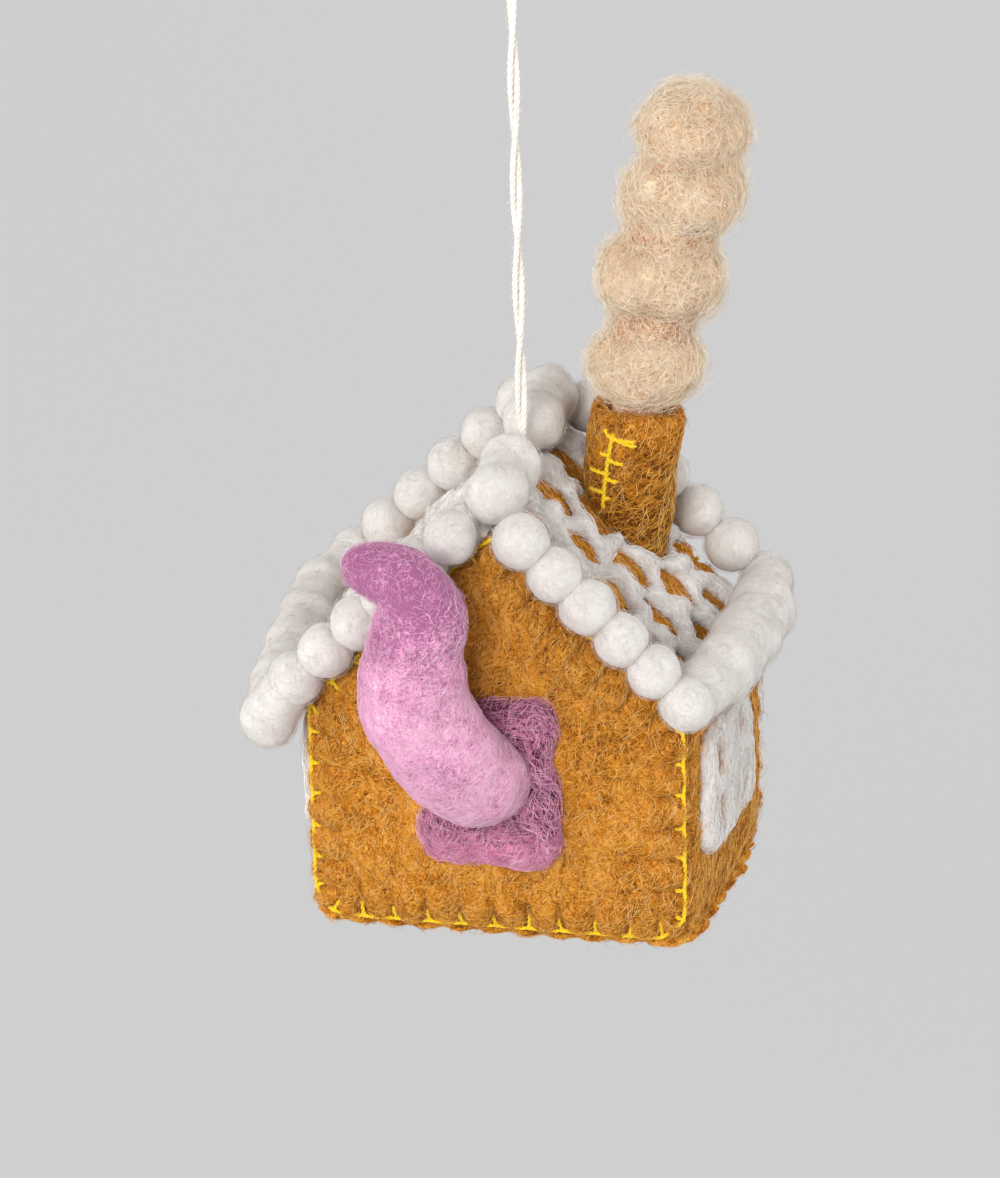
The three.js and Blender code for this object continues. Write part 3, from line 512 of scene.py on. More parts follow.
def slab(name, middle, thickness, finish):
    """A closed sheet of felt about a grid of middle points. Its thickness is nothing along the border."""
    rows, columns = middle.shape[:2]
    normal = np.cross(np.gradient(middle, axis=0), np.gradient(middle, axis=1))
    normal /= np.maximum(np.linalg.norm(normal, axis=2), 1e-9)[..., None]
    offset = normal * thickness[..., None] / 2
    points = np.vstack([(middle + offset).reshape(-1, 3), (middle - offset)[1:-1, 1:-1].reshape(-1, 3)])
    over = np.arange(rows * columns).reshape(rows, columns)
    under = over.copy()
    under[1:-1, 1:-1] = rows * columns + np.arange((rows - 2) * (columns - 2)).reshape(rows - 2, columns - 2)
    faces = np.stack([quads(over), quads(under)[..., [0, 3, 2, 1]]], axis=2).reshape(-1, 4).tolist()
    obj = mesh_piece(name, points, faces, finish)
    paint(obj.data, nap=np.arange(len(points)) < rows * columns)
    return obj


def wool_layer(name, across, down, field, place, height, finish, flip=False):
    """Wool laid on a surface: a closed pad where field, the distance in from its edge, is above nothing."""
    a, d = grid(across, down)
    f = field(a, d)
    inside = f > 0
    step = 1e-3
    # Points just outside the edge are drawn in to it.
    for _ in range(2):
        fa, fd = (field(a + step, d) - f) / step, (field(a, d + step) - f) / step
        near = (f < 0) & (f > -1.2 * (across[1] - across[0]))
        reach = np.where(near, f / np.maximum(fa**2 + fd**2, 1e-3), 0)
        a, d = a - reach * fa, d - reach * fd
        f = field(a, d)
    cell = quads(inside).any(axis=-1)
    keep = np.zeros(inside.shape, bool)
    for i, j in ((0, 0), (1, 0), (1, 1), (0, 1)):
        keep[i : i + cell.shape[0], j : j + cell.shape[1]] |= cell
    core = keep & inside
    top = place(a, d, height * rounded(np.maximum(f, 0), height * 1.1))[keep]
    low = place(a, d, np.full(a.shape, -0.05))[core]
    upper = np.full(keep.shape, -1)
    upper[keep] = np.arange(len(top))
    lower = upper.copy()
    lower[core] = len(top) + np.arange(len(low))
    way = -1 if flip else 1
    faces = np.stack([quads(upper)[cell][:, ::way], quads(lower)[cell][:, ::-way]], axis=1)
    obj = mesh_piece(name, np.vstack([top, low]), faces.reshape(-1, 4).tolist(), finish)
    # The fibres lie along the wool's edges.
    fa = (field(a + step, d) - field(a - step, d))[keep]
    fd = (field(a, d + step) - field(a, d - step))[keep]
    flat = np.zeros(a.shape)
    ahead = (place(a + step, d, flat) - place(a, d, flat))[keep] / step
    aside = (place(a, d + step, flat) - place(a, d, flat))[keep] / step
    grain = ahead * -fd[:, None] + aside * fa[:, None]
    grain /= np.maximum(np.linalg.norm(grain, axis=1), 1e-9)[:, None]
    nap = np.arange(len(top) + len(low)) < len(top)
    paint(obj.data, nap=nap, grain=np.vstack([grain, np.zeros((len(low), 3))]))
    return obj


def out(node, name=None):
    """The first enabled output of a node, or the one of that name."""
    return next(s for s in node.outputs if s.enabled and name in (None, s.name))


def add(tree, kind, *values, stops=(), **given):
    """A node with its settings, which have small letters, and its inputs, which come in order or by name.

    An input is a value, or the socket or the node that it links to. A name has _ for each space.
    """
    node = tree.nodes.new(kind)
    inputs = list(enumerate(values))
    for key, value in given.items():
        if key[0].islower():
            setattr(node, key, value)
        else:
            inputs.append((key.replace("_", " "), value))
    for key, value in inputs:
        named = [s for s in node.inputs if s.enabled and s.name == key]
        socket = named[0] if named else node.inputs[key]
        if isinstance(value, bpy.types.Node):
            value = out(value)
        if isinstance(value, bpy.types.NodeSocket):
            tree.links.new(value, socket)
        else:
            socket.default_value = value
    for place, shade in stops:
        node.color_ramp.elements.new(place).color = (*shade, 1)
    if stops:
        node.color_ramp.elements.remove(node.color_ramp.elements[0])
        node.color_ramp.elements.remove(node.color_ramp.elements[-1])
    return node


def material(context, name):
    """The material of that name, made from its recipe when it is first used."""
    found = bpy.data.materials.get(name)
    for recipes, make in ((MATTED, matted), (LOOSE, loose), (SPUN, spun)):
        if name in recipes and not found:
            names, *sizes = recipes[name]
            found = make(name, [tuple(getattr(context.scene.ornament_colours, n)) for n in names], *sizes)
    return found


def blank_material(name):
    made = bpy.data.materials.new(name)
    made.use_nodes = True
    made.node_tree.nodes.clear()
    return made, made.node_tree


def matted(name, shades, patch, fibre, depth):
    """Matted wool, its fibres crossed at random: mottled, deeply matt, and pale where light grazes its fuzz.

    It is deeper in colour where the surface's colour mark is high: deeper wool in some places,
    painted shade in others.
    """
    made, tree = blank_material(name)
    where = out(add(tree, "ShaderNodeTexCoord"), "Object")
    cloud = add(tree, "ShaderNodeTexNoise", Vector=where, Scale=1 / (patch * MM), Detail=3.0, Roughness=0.6)
    swirl = add(
        tree, "ShaderNodeTexNoise", Vector=where, Scale=1 / (fibre * MM),
        Detail=5.0, Roughness=0.65, Distortion=1.6,
    )
    both = add(tree, "ShaderNodeMath", cloud, 0.45, swirl, operation="MULTIPLY_ADD")
    # The colour mark deepens the wool: deeper wool on some pieces, painted shade on others.
    worn = add(tree, "ShaderNodeAttribute", attribute_name="worn")
    toned = add(tree, "ShaderNodeMath", out(worn, "Fac"), -0.2, both, operation="MULTIPLY_ADD")
    ramp = add(tree, "ShaderNodeValToRGB", toned, stops=list(zip((0.56, 0.72, 0.88), shades)))
    bump = add(tree, "ShaderNodeBump", Strength=0.7, Distance=depth * MM, Height=swirl)
    shader = add(
        tree, "ShaderNodeBsdfPrincipled", Base_Color=ramp, Normal=bump,
        Roughness=0.95, Specular_IOR_Level=0.2,
        Sheen_Weight=0.35, Sheen_Roughness=0.5, Sheen_Tint=(*shades[-1], 1),
    )
    add(tree, "ShaderNodeOutputMaterial", Surface=shader)
    return made


def loose(name, shades, sheen):
    """Loose wool fibres. Each has a shade of its own."""
    made, tree = blank_material(name)
    strand = add(tree, "ShaderNodeUVMap", uv_map="strand")
    split = add(tree, "ShaderNodeSeparateXYZ", strand)
    stops = [(0.04 + 0.92 * k / (len(shades) - 1), shade) for k, shade in enumerate(shades)]
    ramp = add(tree, "ShaderNodeValToRGB", split, stops=stops)
    shader = add(
        tree, "ShaderNodeBsdfPrincipled", Base_Color=ramp, Roughness=0.85, Specular_IOR_Level=0.25,
        Sheen_Weight=sheen, Sheen_Roughness=0.4, Sheen_Tint=(*shades[-1], 1),
    )
    add(tree, "ShaderNodeOutputMaterial", Surface=shader)
    return made


def spun(name, shades, ply):
    """Spun yarn. Fine filaments lie along each ply, so the grooves between plies are deeper in colour."""
    made, tree = blank_material(name)
    where = out(add(tree, "ShaderNodeTexCoord"), "Object")
    scale = 1 / (ply * 0.5 * MM)
    fine = add(
        tree, "ShaderNodeTexNoise", Vector=where, Scale=scale, Detail=4.0, Roughness=0.7, Distortion=0.8
    )
    ramp = add(tree, "ShaderNodeValToRGB", fine, stops=list(zip((0.3, 0.55), shades)))
    bump = add(tree, "ShaderNodeBump", Strength=0.5, Distance=0.15 * ply * MM, Height=fine)
    shader = add(
        tree, "ShaderNodeBsdfPrincipled", Base_Color=ramp, Normal=bump,
        Roughness=0.75, Specular_IOR_Level=0.3, Sheen_Weight=0.2, Sheen_Roughness=0.4,
    )
    add(tree, "ShaderNodeOutputMaterial", Surface=shader)
    return made


def new_tree(name, **kinds):
    """An empty geometry tree with inputs of those kinds, and their sockets by name."""
    tree = bpy.data.node_groups.new(name, "GeometryNodeTree")
    for key, kind in {"Geometry": "Geometry", **kinds}.items():
        tree.interface.new_socket(key, in_out="INPUT", socket_type="NodeSocket" + kind)
    tree.interface.new_socket("Geometry", in_out="OUTPUT", socket_type="NodeSocketGeometry")
    return tree, {socket.name: socket for socket in add(tree, "NodeGroupInput").outputs}


def nap_tree():
    """Loose fibres strewn over a surface along its grain, turned by up to Spread and raised by up to Lift."""
    tree, given = new_tree(
        "Wool nap", Strands="Collection", Density="Float", Spread="Float", Lift="Float",
        Seed="Int", Material="Material",
    )
    seed, spread, most = given["Seed"], given["Spread"], given["Lift"]
    nap = add(tree, "GeometryNodeInputNamedAttribute", data_type="FLOAT", Name="nap")
    grain = add(tree, "GeometryNodeInputNamedAttribute", data_type="FLOAT_VECTOR", Name="grain")
    density = add(tree, "ShaderNodeMath", given["Density"], nap, operation="MULTIPLY")
    strewn = add(
        tree, "GeometryNodeDistributePointsOnFaces", Mesh=given["Geometry"], Density=density, Seed=seed
    )
    normal = out(strewn, "Rotation")
    laid = add(
        tree, "FunctionNodeAlignRotationToVector", axis="X", pivot_axis="Z", Rotation=normal, Vector=grain
    )
    back = add(tree, "ShaderNodeMath", spread, -1.0, operation="MULTIPLY")
    turn = add(tree, "FunctionNodeRandomValue", data_type="FLOAT", Min=back, Max=spread, Seed=seed)
    down = add(tree, "ShaderNodeMath", most, -0.4, operation="MULTIPLY")
    lift = add(tree, "FunctionNodeRandomValue", data_type="FLOAT", Min=down, Max=most, Seed=7)
    raised = add(tree, "ShaderNodeMath", lift, -1.0, operation="MULTIPLY")
    tilt = add(tree, "FunctionNodeEulerToRotation", add(tree, "ShaderNodeCombineXYZ", Y=raised, Z=turn))
    turned = add(tree, "FunctionNodeRotateRotation", rotation_space="LOCAL", Rotation=laid, Rotate_By=tilt)
    kinds = add(
        tree, "GeometryNodeCollectionInfo", given["Strands"], Separate_Children=True, Reset_Children=True
    )
    which = add(tree, "FunctionNodeRandomValue", data_type="INT", Min=0, Max=100, Seed=seed)
    scale = add(tree, "FunctionNodeRandomValue", data_type="FLOAT", Min=0.6, Max=1.3, Seed=3)
    placed = add(
        tree, "GeometryNodeInstanceOnPoints", Points=strewn, Instance=kinds, Pick_Instance=True,
        Instance_Index=which, Rotation=turned, Scale=scale,
    )
    shade = add(tree, "FunctionNodeRandomValue", data_type="FLOAT", Min=0.0, Max=1.0, Seed=seed)
    shaded = add(
        tree, "GeometryNodeStoreNamedAttribute", data_type="FLOAT", domain="INSTANCE",
        Geometry=placed, Name="shade", Value=shade,
    )
    last = add(tree, "GeometryNodeRealizeInstances", shaded)
    across = add(tree, "GeometryNodeInputNamedAttribute", data_type="FLOAT", Name="shade")
    along = add(tree, "GeometryNodeInputNamedAttribute", data_type="FLOAT", Name="along")
    both = add(tree, "ShaderNodeCombineXYZ", across, along)
    for key in ("strand", "OFBake"):
        last = add(
            tree, "GeometryNodeStoreNamedAttribute", data_type="FLOAT2", domain="CORNER",
            Geometry=last, Name=key, Value=both,
        )
    coloured = add(tree, "GeometryNodeSetMaterial", Geometry=last, Material=given["Material"])
    add(tree, "NodeGroupOutput", coloured)
    return tree


def yarn_tree():
    """Yarn along curves: plies that wind round each curve, each a round tube."""
    tree, given = new_tree(
        "Twisted yarn", Diameter="Float", Plies="Int", Turn="Float", Step="Float", Material="Material"
    )
    fine = add(
        tree, "GeometryNodeResampleCurve", mode="LENGTH", Curve=given["Geometry"], Length=given["Step"]
    )
    copies = add(tree, "GeometryNodeDuplicateElements", domain="SPLINE", Geometry=fine, Amount=given["Plies"])
    share = add(tree, "ShaderNodeMath", out(copies, "Duplicate Index"), given["Plies"], operation="DIVIDE")
    far = out(add(tree, "GeometryNodeSplineParameter"), "Length")
    turns = add(tree, "ShaderNodeMath", far, given["Turn"], operation="DIVIDE")
    total = add(tree, "ShaderNodeMath", share, turns, operation="ADD")
    turned = add(tree, "ShaderNodeMath", total, 2 * math.pi, operation="MULTIPLY")
    normal, tangent = add(tree, "GeometryNodeInputNormal"), add(tree, "GeometryNodeInputTangent")
    spoke = add(
        tree, "ShaderNodeVectorRotate", rotation_type="AXIS_ANGLE", Vector=normal, Axis=tangent, Angle=turned
    )
    reach = add(tree, "ShaderNodeMath", given["Diameter"], 0.23, operation="MULTIPLY")
    offset = add(tree, "ShaderNodeVectorMath", operation="SCALE", Vector=spoke, Scale=reach)
    wound = add(tree, "GeometryNodeSetPosition", Geometry=copies, Offset=offset)
    radius = add(tree, "ShaderNodeMath", given["Diameter"], 0.29, operation="MULTIPLY")
    ring = add(tree, "GeometryNodeCurvePrimitiveCircle", Resolution=7, Radius=radius)
    tube = add(tree, "GeometryNodeCurveToMesh", Curve=wound, Profile_Curve=ring, Fill_Caps=True)
    soft = add(tree, "GeometryNodeSetShadeSmooth", tube)
    real = add(tree, "GeometryNodeRealizeInstances", soft)
    coloured = add(tree, "GeometryNodeSetMaterial", Geometry=real, Material=given["Material"])
    add(tree, "NodeGroupOutput", coloured)
    return tree


def ball_tree():
    """A felt ball at each point, as large as the point says and a little out of round."""
    tree, given = new_tree("Felt balls", Unevenness="Float", Lump="Float", Material="Material")
    size = add(tree, "GeometryNodeInputNamedAttribute", data_type="FLOAT", Name="size")
    sphere = add(tree, "GeometryNodeMeshIcoSphere", Radius=0.5, Subdivisions=4)
    dots = add(tree, "GeometryNodeMeshToPoints", Mesh=given["Geometry"])
    rolled = add(tree, "GeometryNodeInstanceOnPoints", Points=dots, Instance=sphere, Scale=size)
    real = add(tree, "GeometryNodeRealizeInstances", rolled)
    scale = add(tree, "ShaderNodeMath", 1.0, given["Lump"], operation="DIVIDE")
    noise = add(tree, "ShaderNodeTexNoise", Scale=scale, Detail=2.0)
    centred = add(tree, "ShaderNodeMath", noise, 0.5, operation="SUBTRACT")
    push = add(tree, "ShaderNodeMath", centred, given["Unevenness"], operation="MULTIPLY")
    normal = add(tree, "GeometryNodeInputNormal")
    offset = add(tree, "ShaderNodeVectorMath", operation="SCALE", Vector=normal, Scale=push)
    moved = add(tree, "GeometryNodeSetPosition", Geometry=real, Offset=offset)
    soft = add(tree, "GeometryNodeSetShadeSmooth", moved)
    coloured = add(tree, "GeometryNodeSetMaterial", Geometry=soft, Material=given["Material"])
    add(tree, "NodeGroupOutput", coloured)
    return tree


def grown(obj, tree, **values):
    """The object as a geometry tree makes it from those inputs, as a plain mesh in its place."""
    modifier = obj.modifiers.new(tree.name, "NODES")
    modifier.node_group = tree
    for item in tree.interface.items_tree:
        if item.in_out == "INPUT" and item.name in values:
            modifier[item.identifier] = values[item.name]
    return plain(obj)


def plain(obj):
    """The object as its modifiers leave it, as a plain mesh in its place."""
    bpy.context.view_layer.update()
    mesh = bpy.data.meshes.new_from_object(obj.evaluated_get(bpy.context.evaluated_depsgraph_get()))
    name = obj.name
    bpy.data.objects.remove(obj)
    mesh.name = name
    return shown(name, mesh)


def strands(kind):
    """A collection of sample fibres that lie along X, bent aside and arched up."""
    long, wide, curl, arch, rings, seed = FIBRES[kind]
    rng = np.random.default_rng(seed)
    group = bpy.data.collections.new(kind)
    f = np.linspace(0, 1, rings + 2)
    hump = 4 * f * (1 - f)
    radius = wide / 2 * np.sin(math.pi * (0.15 + 0.7 * f[1:-1]))
    spokes = np.linspace(0, 2 * math.pi, 4)[:-1]
    tube = xyz(0.0, outer(radius, np.cos(spokes)), outer(radius, np.sin(spokes)))
    for k in range(SAMPLES):
        bow, wave, start = rng.uniform(-1, 1), rng.uniform(0.4, 1), rng.uniform(0, 2 * math.pi)
        y = curl * (bow * hump + wave * np.sin(2 * math.pi * f + start))
        z = arch * hump * rng.uniform(0.5, 1.2) - wide
        line = np.column_stack([long * (f - 0.5), y - y.mean(), z])
        points = np.vstack([(line[1:-1, None] + tube).reshape(-1, 3), line[0], line[-1]])
        mesh = bpy.data.meshes.new(f"{kind}_{k}")
        mesh.from_pydata((points * MM).tolist(), [], tube_faces(rings, 3, flip=True))
        mesh.shade_smooth()
        paint(mesh, along=np.concatenate([np.repeat(f[1:-1], 3), [0, 1]]))
        group.objects.link(bpy.data.objects.new(f"{kind}_{k}", mesh))
    return group


def dress(obj, slot, *nodes, body="house", coats=()):
    """The piece rides on its body and stands for the CAD nodes it covers. Its slot is not used.

    Each coat of loose fibres becomes a piece of its own, and these are returned. A coat is its name, the kind
    of its fibres, how many stand on a square centimetre, their material, their spread and lift in degrees, and
    its seed.
    """
    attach(obj, body)
    if nodes:
        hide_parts(*nodes)
    naps = []
    for name, kind, density, finish, spread, lift, seed in coats:
        group = strands(kind)
        nap = grown(
            shown(name, obj.data.copy()), bpy.data.node_groups.get("Wool nap") or nap_tree(),
            Strands=group, Density=density * PER_CM2, Spread=math.radians(spread), Lift=math.radians(lift),
            Seed=seed, Material=finish,
        )
        for sample in list(group.objects):
            bpy.data.meshes.remove(sample.data)
        bpy.data.collections.remove(group)
        dress(nap, slot, body=body)
        naps.append(nap)
    return naps


def felt_sheet(context, panel, node, coats, held="stretched", **cut):
    """A felt panel and coats: name, kind, density, lift, seed. Cut, its flat size and area, is not used."""
    fibre = material(context, "loose gingerbread wool")
    coats = [(name, kind, density, fibre, 90, lift, seed) for name, kind, density, lift, seed in coats]
    naps = dress(panel, "gingerbread_felt", node, coats=coats)


def yarn(name, lines, diameter, step, finish):
    """Twisted yarn along smooth lines. All measures are millimetres of the house."""
    plies, turn, swell = TWIST[finish.name]
    curve = bpy.data.curves.new(name, "CURVE")
    curve.dimensions = "3D"
    for line in lines:
        spline = curve.splines.new("POLY")
        spline.points.add(len(line) - 1)
        at = np.column_stack([np.asarray(line) * MM + HOUSE, np.ones(len(line))])
        spline.points.foreach_set("co", at.ravel())
    tree = bpy.data.node_groups.get("Twisted yarn") or yarn_tree()
    return grown(
        shown(name, curve), tree, Diameter=diameter * swell * MM, Plies=plies, Turn=turn * MM,
        Step=step * MM, Material=finish,
    )


def fused(name, balls, voxel, passes, finish):
    """Balls of wool felted into one lump. Each ball is its middle and its three radii, in millimetres."""
    rings, columns = 12, 24
    turns = np.linspace(0, 2 * math.pi, columns + 1)[:-1]
    tilts = np.linspace(0, math.pi, rings + 2)[1:-1]
    wide = np.sin(tilts)
    around = xyz(outer(wide, np.cos(turns)), outer(wide, np.sin(turns)), np.cos(tilts)[:, None])
    sphere = np.vstack([around.reshape(-1, 3), [0, 0, 1], [0, 0, -1]])
    points = np.vstack([middle + sphere * radii for middle, radii in balls])
    faces = [face for k in range(len(balls)) for face in tube_faces(rings, columns, k * len(sphere))]
    return felted(mesh_piece(name, points, faces, finish), voxel, passes)


def felted(obj, voxel, passes):
    """One closed skin round all that a piece holds, smoothed as needling does."""
    remesh = obj.modifiers.new("felted", "REMESH")
    remesh.mode = "VOXEL"
    remesh.voxel_size = voxel * MM
    smooth = obj.modifiers.new("smoothed", "SMOOTH")
    smooth.factor, smooth.iterations = 0.5, passes
    obj = plain(obj)
    obj.data.shade_smooth()
    return obj


class ORNAMENT_OT_stage(Operator):
    """Makes the background, the lamps and the camera at the photograph's angle"""

    bl_idname = "ornament.stage"
    bl_label = "Stage"

    azimuth: angle("Azimuth", 13, "How far the camera stands to the right of the front")
    elevation: angle("Elevation", 22.5, "How far the camera stands above the house's middle")
    roll: angle("Roll", 1.5, "Tilt of the picture")
    distance: length("Distance", 1000, "From the camera to the house's middle")
    lens: FloatProperty(name="Lens", description="Focal length in millimetres", default=163.5)

    def execute(self, context):
        scene = context.scene
        tone = (*scene.ornament_colours.stage, 1)
        middle = HOUSE + np.array([0, 0, 55]) * MM

        camera = shown("camera", bpy.data.cameras.new("camera"))
        camera.data.lens = self.lens
        camera.data.clip_start = 0.01
        a, e = self.azimuth, self.elevation
        look = np.array([-math.sin(a) * math.cos(e), math.cos(a) * math.cos(e), -math.sin(e)])
        eye = middle - look * self.distance
        right = np.array([math.cos(a), math.sin(a), 0])
        # The house stands a little right of and below the middle of the picture.
        aim = middle - right * 4.6 * MM + np.cross(right, look) * 5.2 * MM
        look = (aim - eye) / np.linalg.norm(aim - eye)
        right = np.cross(look, [0, 0, 1])
        right /= np.linalg.norm(right)
        up = np.cross(right, look)
        c, s = math.cos(self.roll), math.sin(self.roll)
        turn = Matrix(np.column_stack([c * right - s * up, s * right + c * up, -look]).tolist())
        camera.matrix_world = Matrix.Translation(Vector(eye)) @ turn.to_4x4()
        scene.camera = camera

        # A pale studio floor well below the ornament, and the same tone all round it.
        low, reach = CAD_BOX[0].z - 0.16, 8
        mesh = bpy.data.meshes.new("studio_floor")
        corners = ((-1, -1), (1, -1), (1, 1), (-1, 1))
        mesh.from_pydata([(x * reach, y * reach, low) for x, y in corners], [], [(0, 1, 2, 3)])
        shown("studio_floor", mesh)
        # Matt painted card: even and pale, and it still takes the ornament's shadow.
        card, tree = blank_material("matt studio card")
        ray = out(add(tree, "ShaderNodeLightPath"), "Is Camera Ray")
        seen = add(tree, "ShaderNodeMath", ray, 0.95, operation="MULTIPLY")
        matt = add(tree, "ShaderNodeBsdfDiffuse", Color=tone)
        glow = add(tree, "ShaderNodeEmission", Color=tone, Strength=1.0)
        add(tree, "ShaderNodeOutputMaterial", Surface=add(tree, "ShaderNodeMixShader", seen, matt, glow))
        mesh.materials.append(card)

        scene.world = bpy.data.worlds.new("studio")
        scene.world.use_nodes = True
        tree = scene.world.node_tree
        tree.nodes.clear()
        ray = out(add(tree, "ShaderNodeLightPath"), "Is Camera Ray")
        backdrop = add(tree, "ShaderNodeBackground", Color=tone, Strength=1.0)
        sky = add(tree, "ShaderNodeBackground", Color=(1.0, 1.0, 1.0, 1.0), Strength=0.5)
        add(tree, "ShaderNodeOutputWorld", Surface=add(tree, "ShaderNodeMixShader", ray, sky, backdrop))

        for name, where, size, watts in (
            ("key_softbox", (-0.2, -1.5, 0.72), 0.7, 20.5),
            ("fill_softbox", (1.5, 0.0, 0.4), 1.2, 10.5),
            ("left_softbox", (-1.4, -0.7, 0.3), 1.2, 10.0),
            ("back_softbox", (0.3, 1.6, 0.5), 1.2, 9.0),
        ):
            lamp = bpy.data.lights.new(name, "AREA")
            lamp.size, lamp.energy = size, watts
            away = Vector(where)
            turn = (-away).to_track_quat("-Z", "Y").to_matrix().to_4x4()
            shown(name, lamp).matrix_world = Matrix.Translation(Vector(middle) + away) @ turn
        scene.view_settings.view_transform = "Standard"
        return {"FINISHED"}


class ORNAMENT_OT_string(Operator):
    """Makes the doubled cotton string, its bight and the knot under the ridge"""

    bl_idname = "ornament.string"
    bl_label = "String"

    def execute(self, context):
        h, sizes = House(context), in_mm(context.scene.ornament_string)
        string, gap, bight, wide = sizes.strand, sizes.gap, sizes.bight, sizes.bight_width / 2
        cord_y = -HOUSE[1] / MM
        ridge = h.roof_top(0, cord_y)
        top, pivot = ridge + sizes.height, ridge - h.felt / h.cos / 2
        low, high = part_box("hanger_knot")
        knot_z = ((low.z + high.z) / 2 - HOUSE[2]) / MM
        # The strands end above the knot, clear of it however the house swings.
        drop = pivot - knot_z - sizes.knot / 2 - h.gap
        end = pivot - math.sqrt(max(0, drop**2 - (string + gap / 2) ** 2))
        whole = sizes.twists * 2 * math.pi

        def strand(phase):
            """Points up one strand, on its slow twist and then on its side of the bight."""
            places = [
                (phase + whole * f, (string + gap) / 2, end + (top - bight - end) * f)
                for f in np.linspace(0, 1, 13)
            ]
            for f, share in ((0.4, 0.55), (0.72, 0.98), (0.92, 0.72)):
                places.append((phase + whole, wide * share, top - bight * (1 - f)))
            return [[r * math.cos(a), cord_y + r * math.sin(a), z] for a, r, z in places]

        line = smooth_line(strand(0) + [[0, cord_y, top]] + strand(math.pi)[::-1], 640)
        # The knot is a plain overhand knot pulled tight.
        f = np.linspace(0, 2 * math.pi, 120)
        size = sizes.knot / 2 - string / 2
        x, y = size * (np.sin(f) + 2 * np.sin(2 * f)) / 3, cord_y + size * (np.cos(f) - 2 * np.cos(2 * f)) / 3
        turns = xyz(x, y, knot_z - size * 0.45 * np.sin(3 * f))
        cotton = material(context, "loosely spun cotton")
        loop = yarn("string_loop", [line], string, 0.4, cotton)
        knot = yarn("string_knot", [turns], string, 0.4, cotton)
        dress(knot, "cotton_string", "hanger_knot", body="knot")
        paint(loop.data, nap=1.0)
        coats = [("string_fuzz", "cotton_fluff", 70, material(context, "cotton fluff"), 90, 25, 4)]
        fuzz = dress(loop, "cotton_string", "hanger_loop", body="hanger", coats=coats)
        return {"FINISHED"}


